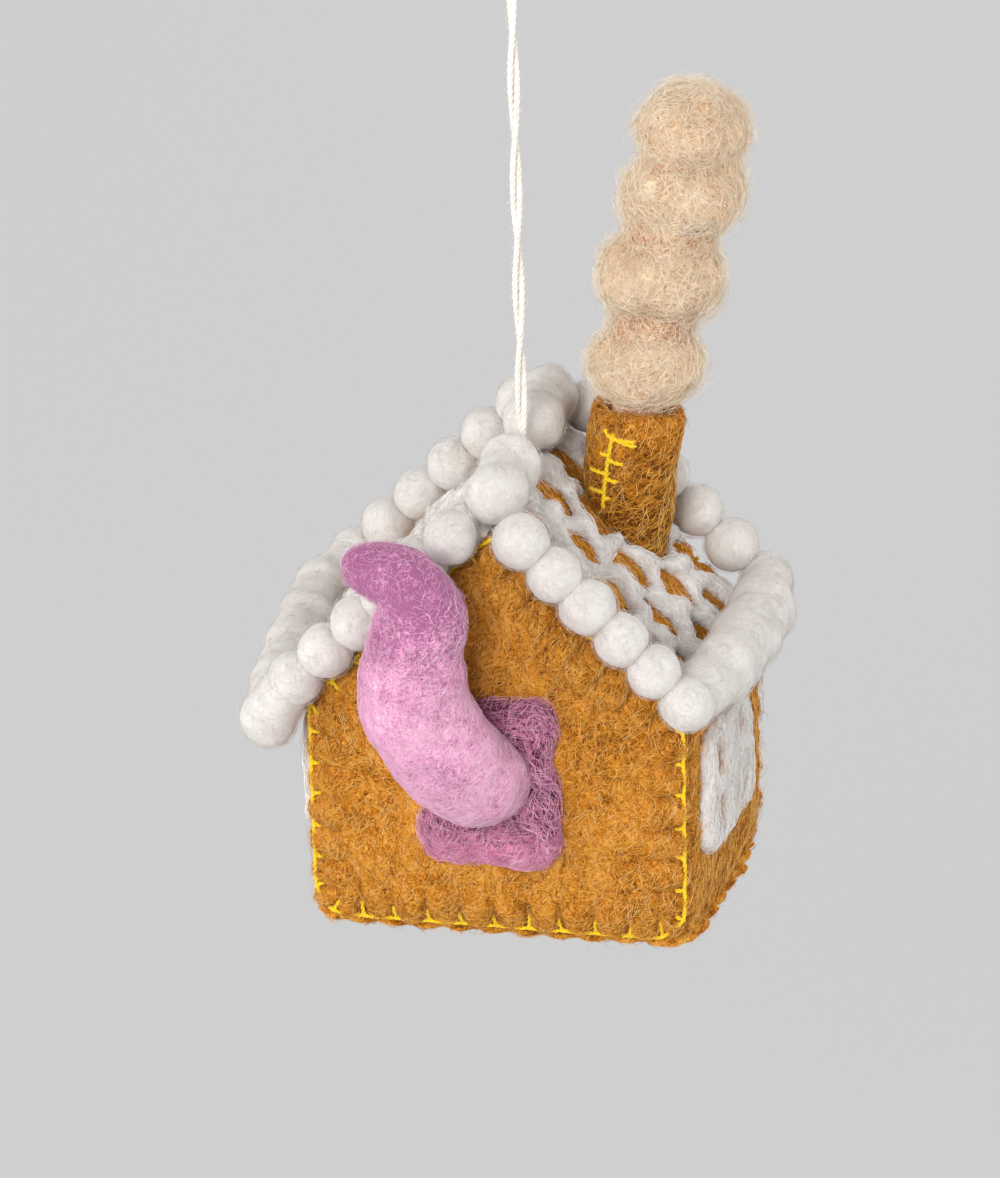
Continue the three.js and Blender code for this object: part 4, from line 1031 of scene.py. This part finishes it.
class ORNAMENT_OT_walls(Operator):
    """Makes the four swollen felt walls and the felt floor"""

    bl_idname = "ornament.walls"
    bl_label = "Felt walls and floor"

    density: fibres(350)

    def execute(self, context):
        h, step = House(context), in_mm(context.scene.ornament_trim).stitch_step
        felt = material(context, "gingerbread craft felt")

        def coats(word, share, wisps, seed):
            nap = (f"{word}_wall_nap", "felt_fibres", self.density * share, 7, seed)
            return [nap, (f"{word}_wall_wisps", "felt_wisps", wisps, 30, seed + 4)]

        for end, word, share in ((-1, "front", 0.86), (1, "back", 0.36)):
            half = h.half_width(end * h.back)
            u, v = grid(-end * spaced(-1, 1, 110), spaced(0, 1, 100))
            x = u * half
            low, high = h.gable_base(x, end), h.roof_top(x, end * h.back)
            tall = high - low
            z = low + tall * v
            rim = np.minimum(np.minimum((1 - np.abs(u)) * half, v * tall), (1 - v) * tall * h.cos)
            y = h.gable_face(x, z, end) - end * h.felt / 2
            # Each stitch pulls the felt in round its leg.
            pull, pinch = np.zeros(x.shape), np.zeros((2, *x.shape))
            for at, way in zip(*h.gable_edge(end, step)):
                deep = (x - at[0]) * way[0] + (z - at[1]) * way[1]
                aside = (z - at[1]) * way[0] - (x - at[0]) * way[1]
                narrow = (aside / 1.4) ** 2
                pull = np.maximum(pull, np.exp(-narrow - ((deep - 1) / 6) ** 2))
                pinch += outer(0.8 * way, np.exp(-narrow - (deep / 2.5) ** 2))
            x, z = x + pinch[0], z + pinch[1]
            # It bulges between the stitches, and is lumpy further in.
            y = y - end * (0.8 * pull - 0.4 * lumps(xyz(x, y, z), 7, 37 + end) * rounded(rim, 6))
            y = y + end * 1.1 * (1 - pull) * np.exp(-(((rim - 5) / 3) ** 2))
            # Stuffing fills the point under the ridge.
            y = y + end * 2.2 * np.clip((z - h.eave - 8) / 10, 0, 1) * rounded(np.maximum(rim - 2, 0), 9)
            thick = h.felt * rounded(rim, h.edge) * (1 - 0.5 * pull)
            wall = slab(f"{word}_felt_wall", xyz(x, y, z), thick, felt)
            top = h.roof_top(0, end * h.back) - h.base
            area = half * (h.roof_top(half, end * h.back) - h.base + top) * MM * MM
            flat = (2 * half * MM, top * MM)
            felt_sheet(context, wall, f"{word}_wall", coats(word, share, 14, 31 + end), flat=flat, area=area)
        for side, word, share in ((1, "right", 0.9), (-1, "left", 0.5)):
            s, v = grid(side * spaced(-1, 1, 84), spaced(0, 1, 70))
            y = s * h.side_end
            high = h.wall_top(h.half_width(y) - h.felt / 2, y)
            z = h.base + (high - h.base) * v
            rim = np.minimum((1 - np.abs(s)) * h.side_end, np.minimum(v, 1 - v) * (high - h.base))
            x = h.side_face(y, z, side) - side * h.felt / 2
            wall = slab(f"{word}_felt_wall", xyz(x, y, z), h.felt * rounded(rim, h.edge), felt)
            flat = (2 * h.side_end * MM, (h.eave - h.base) * MM)
            felt_sheet(context, wall, f"{word}_wall", coats(word, share, 12, 51 + side), flat=flat)
        self.floor(context, h, step, felt)
        return {"FINISHED"}

    def floor(self, context, h, step, felt):
        """The floor. Its edge bulges between the stitches that hold it."""
        ends = h.back - h.felt
        u, v = grid(spaced(-1, 1, 90), spaced(-1, 1, 76))
        at_side, at_end = np.abs(u) > np.abs(v), np.abs(v) >= np.abs(u)
        y = v * ends
        half = h.half_width(y)
        x = u * half
        # The corners' square grid is drawn in to a round one.
        past_x = np.maximum(0, np.abs(x) - (half - h.corner))
        past_y = np.maximum(0, np.abs(y) - (ends - h.corner))
        shrink = np.maximum(past_x, past_y) / np.maximum(np.hypot(past_x, past_y), 1e-6)
        x = np.sign(x) * (np.minimum(np.abs(x), half - h.corner) + past_x * shrink)
        y = np.sign(y) * (np.minimum(np.abs(y), ends - h.corner) + past_y * shrink)
        rim = np.minimum((1 - np.abs(u)) * half, (1 - np.abs(v)) * ends)
        pull = np.cos(math.pi * y / step) ** 8 * at_side
        for at, way in zip(*h.gable_edge(-1, step)):
            if way[1] > 0.9:
                pull = np.maximum(pull, np.exp(-(((x - at[0]) / 1.5) ** 2)) * at_end)
        near = 1 - rounded(rim, 4)
        flat = xyz(x, y, 0.0)
        bulge = (1.9 * (1 - pull) - 0.8 + 0.4 * lumps(flat, 5, 63)) * near
        z = h.felt / 2 + 0.15 * lumps(flat, 9, 61) * rounded(rim, 8) + 0.4 * pull * near
        middle = xyz(-x - np.sign(x) * bulge * at_side, y + np.sign(y) * bulge * at_end, z)
        thick = (h.felt - 0.3) * rounded(rim, h.edge) * (1 - 0.65 * pull * near)
        panel = slab("felt_floor", middle, thick, felt)
        wide = h.half_width(h.back)
        felt_sheet(
            context, panel, "floor_panel", [("floor_nap", "felt_fibres", 40, 7, 62)],
            flat=(2 * wide * MM, 2 * ends * MM), area=2 * (wide + h.half) * ends * MM * MM,
        )


class ORNAMENT_OT_roof(Operator):
    """Makes the two felt slopes of the roof"""

    bl_idname = "ornament.roof"
    bl_label = "Felt roof"

    density: fibres(170)

    def execute(self, context):
        h = House(context)
        ends = h.side_end
        for side, word in ((1, "right"), (-1, "left")):
            f, v = grid(spaced(0, 1, 80), side * spaced(-1, 1, 84))
            y = v * ends
            reach = h.eave_x(y) - h.gap / 2
            x = h.gap / 2 + reach * f
            rim = np.minimum(np.minimum(f, 1 - f) * reach / h.cos, (1 - np.abs(v)) * ends)
            wave = 0.3 * lumps(xyz(x, y, 0.0), 11, 72 + side) * rounded(rim, 8)
            middle = xyz(side * x, y, h.wall_top(x, y) + (h.gap + h.felt / 2) / h.cos + wave)
            felt = material(context, "gingerbread craft felt")
            slope = slab(f"{word}_felt_roof", middle, h.felt * rounded(rim, h.edge), felt)
            coats = [(f"{word}_roof_nap", "roof_fibres", self.density, 6, 75 + side)]
            felt_sheet(context, slope, f"{word}_roof", coats, flat=(2 * ends * MM, h.eave_x(0) / h.cos * MM))
        return {"FINISHED"}


class ORNAMENT_OT_icing(Operator):
    """Lays the white wool net on the roof and the white wool windows on the side walls"""

    bl_idname = "ornament.icing"
    bl_label = "Wool icing"

    density: fibres(260)

    def execute(self, context):
        h, trim = House(context), in_mm(context.scene.ornament_trim)
        wool, fibre = material(context, "white needled wool"), material(context, "loose white wool")
        long, wide = trim.net_hole_length / 2, trim.net_hole_width / 2
        half_w, half_h = trim.window_width / 2, trim.window_height / 2
        pane_w, pane_h = trim.pane_width / 2, trim.pane_height / 2
        middle = np.array([trim.window_place, trim.window_sill]) + [0, half_h]
        # The net stops short of the walls and the eaves.
        short = 1.5
        ends = h.back - short
        for side, word in ((1, "right"), (-1, "left")):
            ridge, down, along, outward = h.roof_frame(side)
            rng = np.random.default_rng(82 + side)
            # Every other row of gaps is moved along by half a step.
            gaps = []
            for i in range(6):
                for j in range(-3, 4):
                    at = [2.5 + long + trim.net_step_down * i, trim.net_step_along * (j + i % 2 / 2)]
                    at = np.array(at) + rng.normal(0, 0.5, 2)
                    gaps.append((at, long * rng.uniform(0.95, 1.2), wide * rng.uniform(0.85, 1.2)))

            def net(s, t):
                y = s * down[1] + t * along[1]
                inside = np.minimum(s - 1, h.eave_x(y) / h.cos - short - s)
                inside = np.minimum(inside, ends - np.abs(y))
                inside = np.minimum(inside, np.hypot(s, t + HOUSE[1] / MM) - trim.string_room)
                for at, half_long, half_wide in gaps:
                    k = np.hypot((s - at[0]) / half_long, (t - at[1]) / half_wide)
                    inside = np.minimum(inside, (k - 1) * half_wide * 1.2)
                if side > 0:
                    foot = h.chimney_foot - ridge
                    k = np.hypot((s - foot @ down) * h.cos, t - foot @ along)
                    inside = np.minimum(inside, k - h.chimney_radius + 0.6)
                return inside + 0.45 * lumps(xyz(s, t, 0.0), 3, 85 + side)

            def on_slope(s, t, tall):
                lift = tall * (1 + 0.4 * lumps(xyz(s, t, 0.0), 3, 87 + side)) - 0.15
                return ridge + outer(s, down) + outer(t, along) + outer(lift, outward)

            def window(y, z):
                inside = box_inset(y - middle[0], z - middle[1], half_w, half_h, 5)
                for a in (-1, 1):
                    for b in (-1, 1):
                        at = middle + np.array([a * half_w, b * half_h]) / 2.15
                        hole = box_inset(y - at[0], z - at[1], pane_w - 0.8, pane_h - 0.1, 1.6)
                        inside = np.minimum(inside, -hole)
                return inside + 0.4 * lumps(xyz(0.0, y, z), 4, 91 + side)

            def on_wall(y, z, tall):
                return xyz(h.side_face(y, z, side) + side * (tall * 0.8 - 0.1), y, z)

            # Each grid is a little larger than its wool.
            net_step = 0.55
            net_grid = np.arange(0, 58, net_step), np.arange(-ends - 3, ends + 3, net_step)
            window_grid = [np.arange(m - s - 2, m + s + 2, 0.5) for m, s in zip(middle, (half_w, half_h))]
            for what, node, (across, up), field, place, spread, lift, seed in (
                ("net", "roof", net_grid, net, on_slope, 40, 14, 88),
                ("window", "window", window_grid, window, on_wall, 30, 8, 94),
            ):
                piece = wool_layer(
                    f"{word}_wool_{what}", across, up, field, place, trim.icing, wool, flip=side < 0
                )
                nap = (f"{word}_{what}_nap", "icing_fibres", self.density, fibre, spread, lift, seed + side)
                dress(piece, "white_wool_icing", f"{word}_{node}_icing", coats=[nap])
        return {"FINISHED"}


class ORNAMENT_OT_balls(Operator):
    """Makes the rows of white felt balls on the rakes, the eaves and the ridge"""

    bl_idname = "ornament.balls"
    bl_label = "Felt balls"

    unevenness: length("Unevenness", 0.9, "How far a ball is out of round")
    density: fibres(120)

    def execute(self, context):
        felt, fibre = material(context, "white rolled felt"), material(context, "white ball fluff")
        rng = np.random.default_rng(102)
        on_rake = 6

        def finish(obj, row, count, seed):
            paint(obj.data, nap=1.0)
            nap = (f"{obj.name}_nap", "ball_fibres", self.density, fibre, 90, 18, seed)
            dress(obj, "white_felt_ball", *[f"{row}_{i}" for i in range(1, count + 1)], coats=[nap])

        rows = [f"{end}_{side}_rake_ball" for end in ("front", "back") for side in ("left", "right")]
        for k, row in enumerate(rows):
            places = ball_places(row, on_rake)
            mesh = bpy.data.meshes.new(f"{row}_row")
            mesh.from_pydata([(at * MM + HOUSE).tolist() for at, _ in places], [], [])
            paint(mesh, size=[wide * MM * rng.uniform(1.0, 1.06) for _, wide in places])
            tree = bpy.data.node_groups.get("Felt balls") or ball_tree()
            obj = grown(
                shown(f"{row}_row", mesh), tree, Unevenness=self.unevenness, Lump=3.5 * MM, Material=felt
            )
            finish(obj, row, on_rake, 103 + k)

        for k, (row, count, swell, between, passes) in enumerate((
            ("left_eave_ball", 5, 1.03, 0.92, 16),
            ("right_eave_ball", 3, 1.02, 0.93, 20),
            ("ridge_ball", 4, 1.1, 0.95, 16),
        )):
            places = ball_places(row, count)
            balls = [(at, np.full(3, wide / 2 * swell)) for at, wide in places]
            # Each eave's roll runs on into the corner balls, and neighbours are felted together.
            side = row.split("_")[0]
            if side != "ridge":
                corners = [ball_places(f"{end}_{side}_rake_ball", on_rake)[-1] for end in ("front", "back")]
                places = [corners[0], *places, corners[1]]
            for (a, wide), (b, other) in zip(places, places[1:]):
                if np.linalg.norm(b - a) < 1.5 * max(wide, other):
                    for f in np.linspace(0, 1, 10)[1:-1]:
                        balls.append((a + (b - a) * f, np.full(3, (wide + (other - wide) * f) / 2 * between)))
            obj = fused(f"{row}_roll", balls, 0.6, passes, felt)
            at = points_of(obj)
            move_points(obj, pushed(obj, at, 0.35 * lumps(at, 6, 111 + k) + 0.15 * lumps(at, 3, 117 + k)))
            finish(obj, row, count, 114 + k)
        return {"FINISHED"}


class ORNAMENT_OT_chimney(Operator):
    """Rolls the felt chimney and sews its seam"""

    bl_idname = "ornament.chimney"
    bl_label = "Chimney"

    seam: angle("Seam", -111, "Turn of the seam")
    density: fibres(240)

    def execute(self, context):
        h, trim = House(context), in_mm(context.scene.ornament_trim)
        radius = h.chimney_radius - h.felt / 2
        turn, v = grid(self.seam + spaced(0.03, 2 * math.pi - 0.03, 90), spaced(0, 1, 60))
        low = h.chimney_low(radius, turn) - 0.6
        wave = lumps(xyz(8 * np.cos(turn), 8 * np.sin(turn), 26 * v), 8, 121)
        high = h.chimney_length + 0.5 * lumps(xyz(8 * np.cos(turn), 8 * np.sin(turn), 0.0), 7, 122)
        ends = np.minimum(turn - self.seam, self.seam + 2 * math.pi - turn) * radius
        rim = np.minimum(ends, np.minimum(v, 1 - v) * (high - low))
        middle = h.on_chimney(radius + 0.3 * wave * rounded(rim, 5), turn, low + (high - low) * v)
        felt = material(context, "gingerbread craft felt")
        tube = slab("felt_chimney", middle, h.felt * rounded(rim, h.edge), felt)
        # It is fluffy inside too, and painted shade darkens it towards its foot.
        foot = 1.1 - (points_of(tube)[:, 2] - h.chimney_foot[2]) / h.chimney_length
        paint(tube.data, nap=1.0, worn=np.clip(foot, 0, 1))
        coats = [("chimney_nap", "chimney_fibres", self.density, 8, 124)]
        flat = (2 * math.pi * radius * MM, (h.chimney_length - float(low.mean())) * MM)
        felt_sheet(context, tube, "chimney_tube", coats, held="folded", flat=flat)

        leg = trim.stitch_leg
        skin = h.chimney_radius + 0.25 * trim.thread

        def sewn(*spots):
            """A stitch through spots beside the seam and up the chimney. Its ends dive into the felt."""
            side, up = np.array(spots, float).T
            deep = np.full(len(side), skin)
            deep[[0, -1]] = h.chimney_radius - 0.8
            return smooth_line(h.on_chimney(deep, self.seam + side / skin, up), 16)

        first = float(h.chimney_low(h.chimney_radius, np.array(self.seam))) + 3
        last = h.chimney_length - 4
        between = (first + last) / 2
        lines = [sewn((0, first - 0.5), (0.1, first), (-0.1, between), (0.2, last), (0.1, last + 0.6))]
        for fall, left, right in ((0.22, 0.6, 0.8), (0.5, 1.3, 0.6), (0.78, 1.1, 0.3)):
            up = last - fall * (last - first)
            for way, reach, drop in ((-1, left * leg, 0.5), (1, right * leg, 1.4)):
                root, tip = up - drop, up - drop - 0.1 * reach
                spots = (-way * 0.3, root), (way * 0.2, root), (way * reach, tip), (way * (reach + 0.6), tip)
                lines.append(sewn(*spots))
        # The seam ends in a few short stitches that fan out at the top.
        for aside, rise in ((-0.5, 1.1), (1.3, 0.2), (1.4, -0.6)):
            tip = (aside * leg, last + rise)
            lines.append(sewn((-aside * 0.3, last - 0.2), (aside * 0.3, last), tip, (tip[0] * 1.2, tip[1])))
        cotton = material(context, "yellow embroidery cotton")
        seam = yarn("chimney_seam_thread", lines, trim.thread, 0.3, cotton)
        dress(seam, "yellow_thread", "chimney_seam")
        return {"FINISHED"}


class ORNAMENT_OT_smoke(Operator):
    """Makes the plume of cream wool that stands in the chimney"""

    bl_idname = "ornament.smoke"
    bl_label = "Wool smoke"

    density: fibres(190)

    def execute(self, context):
        h = House(context)
        rng = np.random.default_rng(131)
        balls, puffs = [], 4
        lobes = ball_places("smoke_puff", puffs)
        # The lowest puff's solid has a root in the chimney, and the top puff is sunk into its neighbour.
        for k, shift in ((0, 4.4), (3, -1.5)):
            lobes[k] = (lobes[k][0] + [0, 0, shift], lobes[k][1])
        for at, wide in lobes:
            balls.append((at, np.array([0.44, 0.44, 0.33]) * wide))
            for _ in range(9):
                way = rng.normal(size=3) * [1, 1, 0.3]
                way *= rng.uniform(0.25, 0.31) * wide / np.linalg.norm(way)
                balls.append((at + way, np.full(3, wide * rng.uniform(0.14, 0.18))))
        for (a, wide), (b, _) in zip(lobes, lobes[1:]):
            balls.append(((a + b) / 2, np.array([0.33, 0.33, 0.3]) * wide))
        top = h.on_chimney(0.0, 0.0, h.chimney_length)
        inner = h.chimney_radius - h.felt - h.gap
        balls.append((top - [0.4, 0, 2.5], np.array([inner, inner, 6])))
        plume = fused("smoke_plume", balls, 0.8, 6, material(context, "cream carded wool"))
        at = points_of(plume)
        soft = np.clip((at[:, 2] - top[2]) / 4, 0, 1)
        move_points(plume, pushed(plume, at, (0.5 * lumps(at, 6, 132) + 0.25 * lumps(at, 3, 133)) * soft))
        # Painted shade turns the wool tan in the hollows between the puffs, where less fluff stands.
        hollow = np.min([np.abs(at[:, 2] - lobe[2]) for lobe, _ in lobes], axis=0) / 8
        hollow = np.clip(2.4 * hollow - 1.3, 0, 1) * (at[:, 2] < lobes[-1][0][2])
        paint(plume.data, worn=0.8 * hollow, nap=soft * (1 - 0.5 * hollow))
        fibre = material(context, "loose cream wool")
        coats = [
            (name, f"{name}_fibres", many, fibre, 180, lift, 135)
            for name, many, lift in (
                ("smoke_wool", self.density, 12),
                ("smoke_curls", self.density * 0.62, 30),
                ("smoke_flyaways", 16, 65),
            )
        ]
        dress(plume, "cream_wool_smoke", *[f"smoke_puff_{k}" for k in range(1, puffs + 1)], coats=coats)
        return {"FINISHED"}


class ORNAMENT_OT_door(Operator):
    """Makes the plum wool door patch and the mauve tentacle that reaches out of it"""

    bl_idname = "ornament.door"
    bl_label = "Door and tentacle"

    density: fibres(240)

    def execute(self, context):
        h, sizes = House(context), in_mm(context.scene.ornament_door)
        wide, tall, girth = sizes.width / 2, sizes.height / 2, sizes.girth
        middle = np.array([sizes.side, sizes.middle])

        def inside(x, z):
            box = box_inset(x - middle[0] + 0.5, z - middle[1], wide - 0.8, tall - 0.8, 4)
            return box + 0.5 * lumps(xyz(x, 0.0, z), 5, 141)

        def on_wall(x, z, lift):
            rim = np.maximum(np.abs(x - middle[0]) / wide, np.abs(z - middle[1]) / tall)
            rise = lift * (0.85 + 0.3 * np.clip(rim, 0, 1) ** 4 + 0.25 * lumps(xyz(x, 0.0, z), 3, 142)) - 0.1
            return xyz(x, h.gable_face(x, z, -1) - rise, z)

        across, up = (np.arange(m - s - 2, m + s + 2, 0.4) for m, s in zip(middle, (wide, tall)))
        wool = material(context, "plum needled wool")
        patch = wool_layer("door_patch_wool", across, up, inside, on_wall, sizes.thick, wool)
        # Fluff gathers along its foot. Above it the colour is deeper, partly its deep plum wool
        # and partly painted shade, so the foot stays pale as painted light.
        foot = np.clip((middle[1] - tall / 2 - points_of(patch)[:, 2]) / 5, 0, 1)
        nap = np.zeros(len(foot), np.float32)
        patch.data.attributes["nap"].data.foreach_get("value", nap)
        paint(patch.data, worn=0.9 * (1 - foot), nap=nap * (0.6 + 0.4 * foot))
        fibre = material(context, "loose plum wool")
        coats = [("door_patch_nap", "patch_fibres", self.density * 1.8, fibre, 50, 10, 144)]
        dress(patch, "plum_wool", "door_patch", coats=coats)

        # Places along the tentacle, right, forward and up from the patch's middle, and its radius, in girths.
        arm = [
            [0, 0.2, 0.1, 0.84],
            [-0.16, 0.8, 0.26, 0.9],
            [-0.54, 1.36, 0.88, 0.96],
            [-1.05, 1.7, 2, 0.96],
            [-0.98, 1.85, 3.15, 0.88],
            [-0.8, 1.95, 3.96, 0.78],
            [-1.14, 1.9, 4.46, 0.66],
            [-1.74, 1.8, 4.64, 0.48],
        ]
        arm = smooth_line(np.array(arm) * girth, 68)
        line = xyz(arm[:, 0], -arm[:, 1], arm[:, 2]) + [middle[0], -h.back, middle[1]]
        ahead = np.gradient(line, axis=0)
        ahead /= np.linalg.norm(ahead, axis=1)[:, None]
        # It ends in half a ball.
        tip = np.sin(np.linspace(0, math.pi / 2, 9)[1:-1])
        line = np.vstack([line, line[-1] + ahead[-1] * arm[-1, 3] * tip[:, None]])
        size = np.concatenate([arm[:, 3], arm[-1, 3] * np.sqrt(1 - tip**2)])
        ahead = np.vstack([ahead, np.repeat(ahead[-1:], len(tip), axis=0)])
        columns = 48
        turn = np.linspace(0, 2 * math.pi, columns + 1)[:-1]
        rings = []
        side = np.array([1.0, 0, 0])
        for at, way, r in zip(line, ahead, size):
            side = side - way * (side @ way)
            side /= np.linalg.norm(side)
            rings.append(at + r * (outer(np.cos(turn), side) + outer(np.sin(turn), np.cross(way, side))))
        points = np.vstack([*rings, line[0], line[-1] + ahead[-1] * 0.1])
        faces = tube_faces(len(rings), columns, flip=True)
        wool = material(context, "mauve needled wool")
        tentacle = felted(mesh_piece("tentacle_wool", points, faces, wool), 0.7, 12)
        at = points_of(tentacle)
        at = pushed(tentacle, at, 0.35 * lumps(at, 9, 145) + 0.18 * lumps(at, 3.5, 146))
        # The root stays inside the patch.
        at[:, 1] = np.minimum(at[:, 1], h.gable_face(at[:, 0], at[:, 2], -1) - 0.6)
        move_points(tentacle, at)
        # Its fluff is thick in the middle and worn thin on the head.
        head = np.clip((at[:, 2] - line[-1][2] + 2.6 * girth) / (2.2 * girth), 0, 1)
        clear = np.clip((-h.back - sizes.thick - 2 - at[:, 1]) / 2, 0, 1)
        paint(tentacle.data, nap=clear * (1 - 0.75 * head), worn=1.2 * head - 0.2)
        fibre = material(context, "loose mauve wool")
        coats = [("tentacle_nap", "tentacle_fibres", self.density * 1.6, fibre, 90, 8, 148)]
        dress(tentacle, "mauve_wool", "tentacle", coats=coats)
        return {"FINISHED"}


class ORNAMENT_OT_stitching(Operator):
    """Sews the yellow blanket stitch round the front and back walls"""

    bl_idname = "ornament.stitching"
    bl_label = "Blanket stitch"

    def execute(self, context):
        h, trim = House(context), in_mm(context.scene.ornament_trim)
        lie = 0.3 * trim.thread
        cotton = material(context, "yellow embroidery cotton")
        for end, word, inset in ((-1, "front", trim.stitch_inset), (1, "back", 4 * trim.stitch_inset)):
            rng = np.random.default_rng(151 + end)
            edge, into = h.gable_edge(end, trim.stitch_step)

            def spot(at, way, deep, lift):
                """A place on the felt, in from the edge and raised off the face."""
                x, z = at + way * deep
                return [x, h.gable_face(x, z, end, deep) + end * lift, z]

            lines = []
            for a, b, here, there in zip(edge, edge[1:], into, into[1:]):
                inward = there + rng.normal(0, 0.18) * (b - a) / np.linalg.norm(b - a)
                reach = trim.stitch_leg * rng.uniform(0.85, 1.15)
                # They are short up the sides, and shorter still under the balls of one slope.
                if abs(there[0]) > 0.9:
                    reach *= 0.55
                elif there[0] < -0.4 and there[1] < -0.4:
                    reach *= 0.35
                spots = (
                    (a, here, inset + 0.5, -0.7),
                    (a, here, inset, lie),
                    ((a + b) / 2, here, inset - 0.15, lie + 0.1),
                    (b, there, inset, lie),
                    (b, inward, reach * 0.5, lie - 0.5),
                    (b, inward, reach, lie * 0.6 - 0.5),
                    (b, inward, reach + 0.5, -1.5),
                )
                lines.append(smooth_line([spot(*s) for s in spots], 26))
            stitch = yarn(f"{word}_blanket_stitch", lines, trim.thread, 0.5, cotton)
            dress(stitch, "yellow_thread", f"{word}_edge_stitching")
        return {"FINISHED"}


class ORNAMENT_OT_stuffing(Operator):
    """Fills the house with white wadding, which stays hidden"""

    bl_idname = "ornament.stuffing"
    bl_label = "Stuffing"

    def execute(self, context):
        h = House(context)
        deep, half = h.back - h.felt - 2, h.half - h.felt - 2
        low, high = h.base + 1, h.wall_top(0, 0)
        balls = [
            ([0, 0, low + 18], [half, deep, 18]),
            ([0, 0, high - 26], [half * 0.45, deep, 17]),
            ([-half * 0.42, 0, h.eave - 6], [half * 0.42, deep, 14]),
            ([half * 0.42, 0, h.eave - 6], [half * 0.42, deep, 14]),
        ]
        fill = fused("wadding_fill", balls, 1.6, 4, material(context, "white wadding"))
        dress(fill, "fibre_stuffing", "stuffing")
        return {"FINISHED"}


STEPS = (
    ORNAMENT_OT_stage,
    ORNAMENT_OT_string,
    ORNAMENT_OT_walls,
    ORNAMENT_OT_roof,
    ORNAMENT_OT_icing,
    ORNAMENT_OT_balls,
    ORNAMENT_OT_chimney,
    ORNAMENT_OT_smoke,
    ORNAMENT_OT_door,
    ORNAMENT_OT_stitching,
    ORNAMENT_OT_stuffing,
)


class ORNAMENT_PT_panel(Panel):
    """Lists the steps that make the ornament"""

    bl_label = "Felt ornament"
    bl_idname = "ORNAMENT_PT_panel"
    bl_space_type = "VIEW_3D"
    bl_region_type = "UI"
    bl_category = "Ornament"

    def draw(self, context):
        for step in STEPS:
            self.layout.operator(step.bl_idname)


CLASSES = (*GROUPS.values(), *STEPS, ORNAMENT_PT_panel)


def register():
    for kind in CLASSES:
        bpy.utils.register_class(kind)
    for name, kind in GROUPS.items():
        setattr(bpy.types.Scene, name, PointerProperty(type=kind))


def unregister():
    for name in GROUPS:
        delattr(bpy.types.Scene, name)
    for kind in reversed(CLASSES):
        bpy.utils.unregister_class(kind)


def main():
    register()
    bpy.ops.ornament.stage()
    bpy.ops.ornament.string()
    bpy.ops.ornament.walls()
    bpy.ops.ornament.roof()
    bpy.ops.ornament.icing()
    bpy.ops.ornament.balls()
    bpy.ops.ornament.chimney()
    bpy.ops.ornament.smoke()
    bpy.ops.ornament.door()
    bpy.ops.ornament.stitching()
    bpy.ops.ornament.stuffing()


if __name__ == "__main__":
    main()
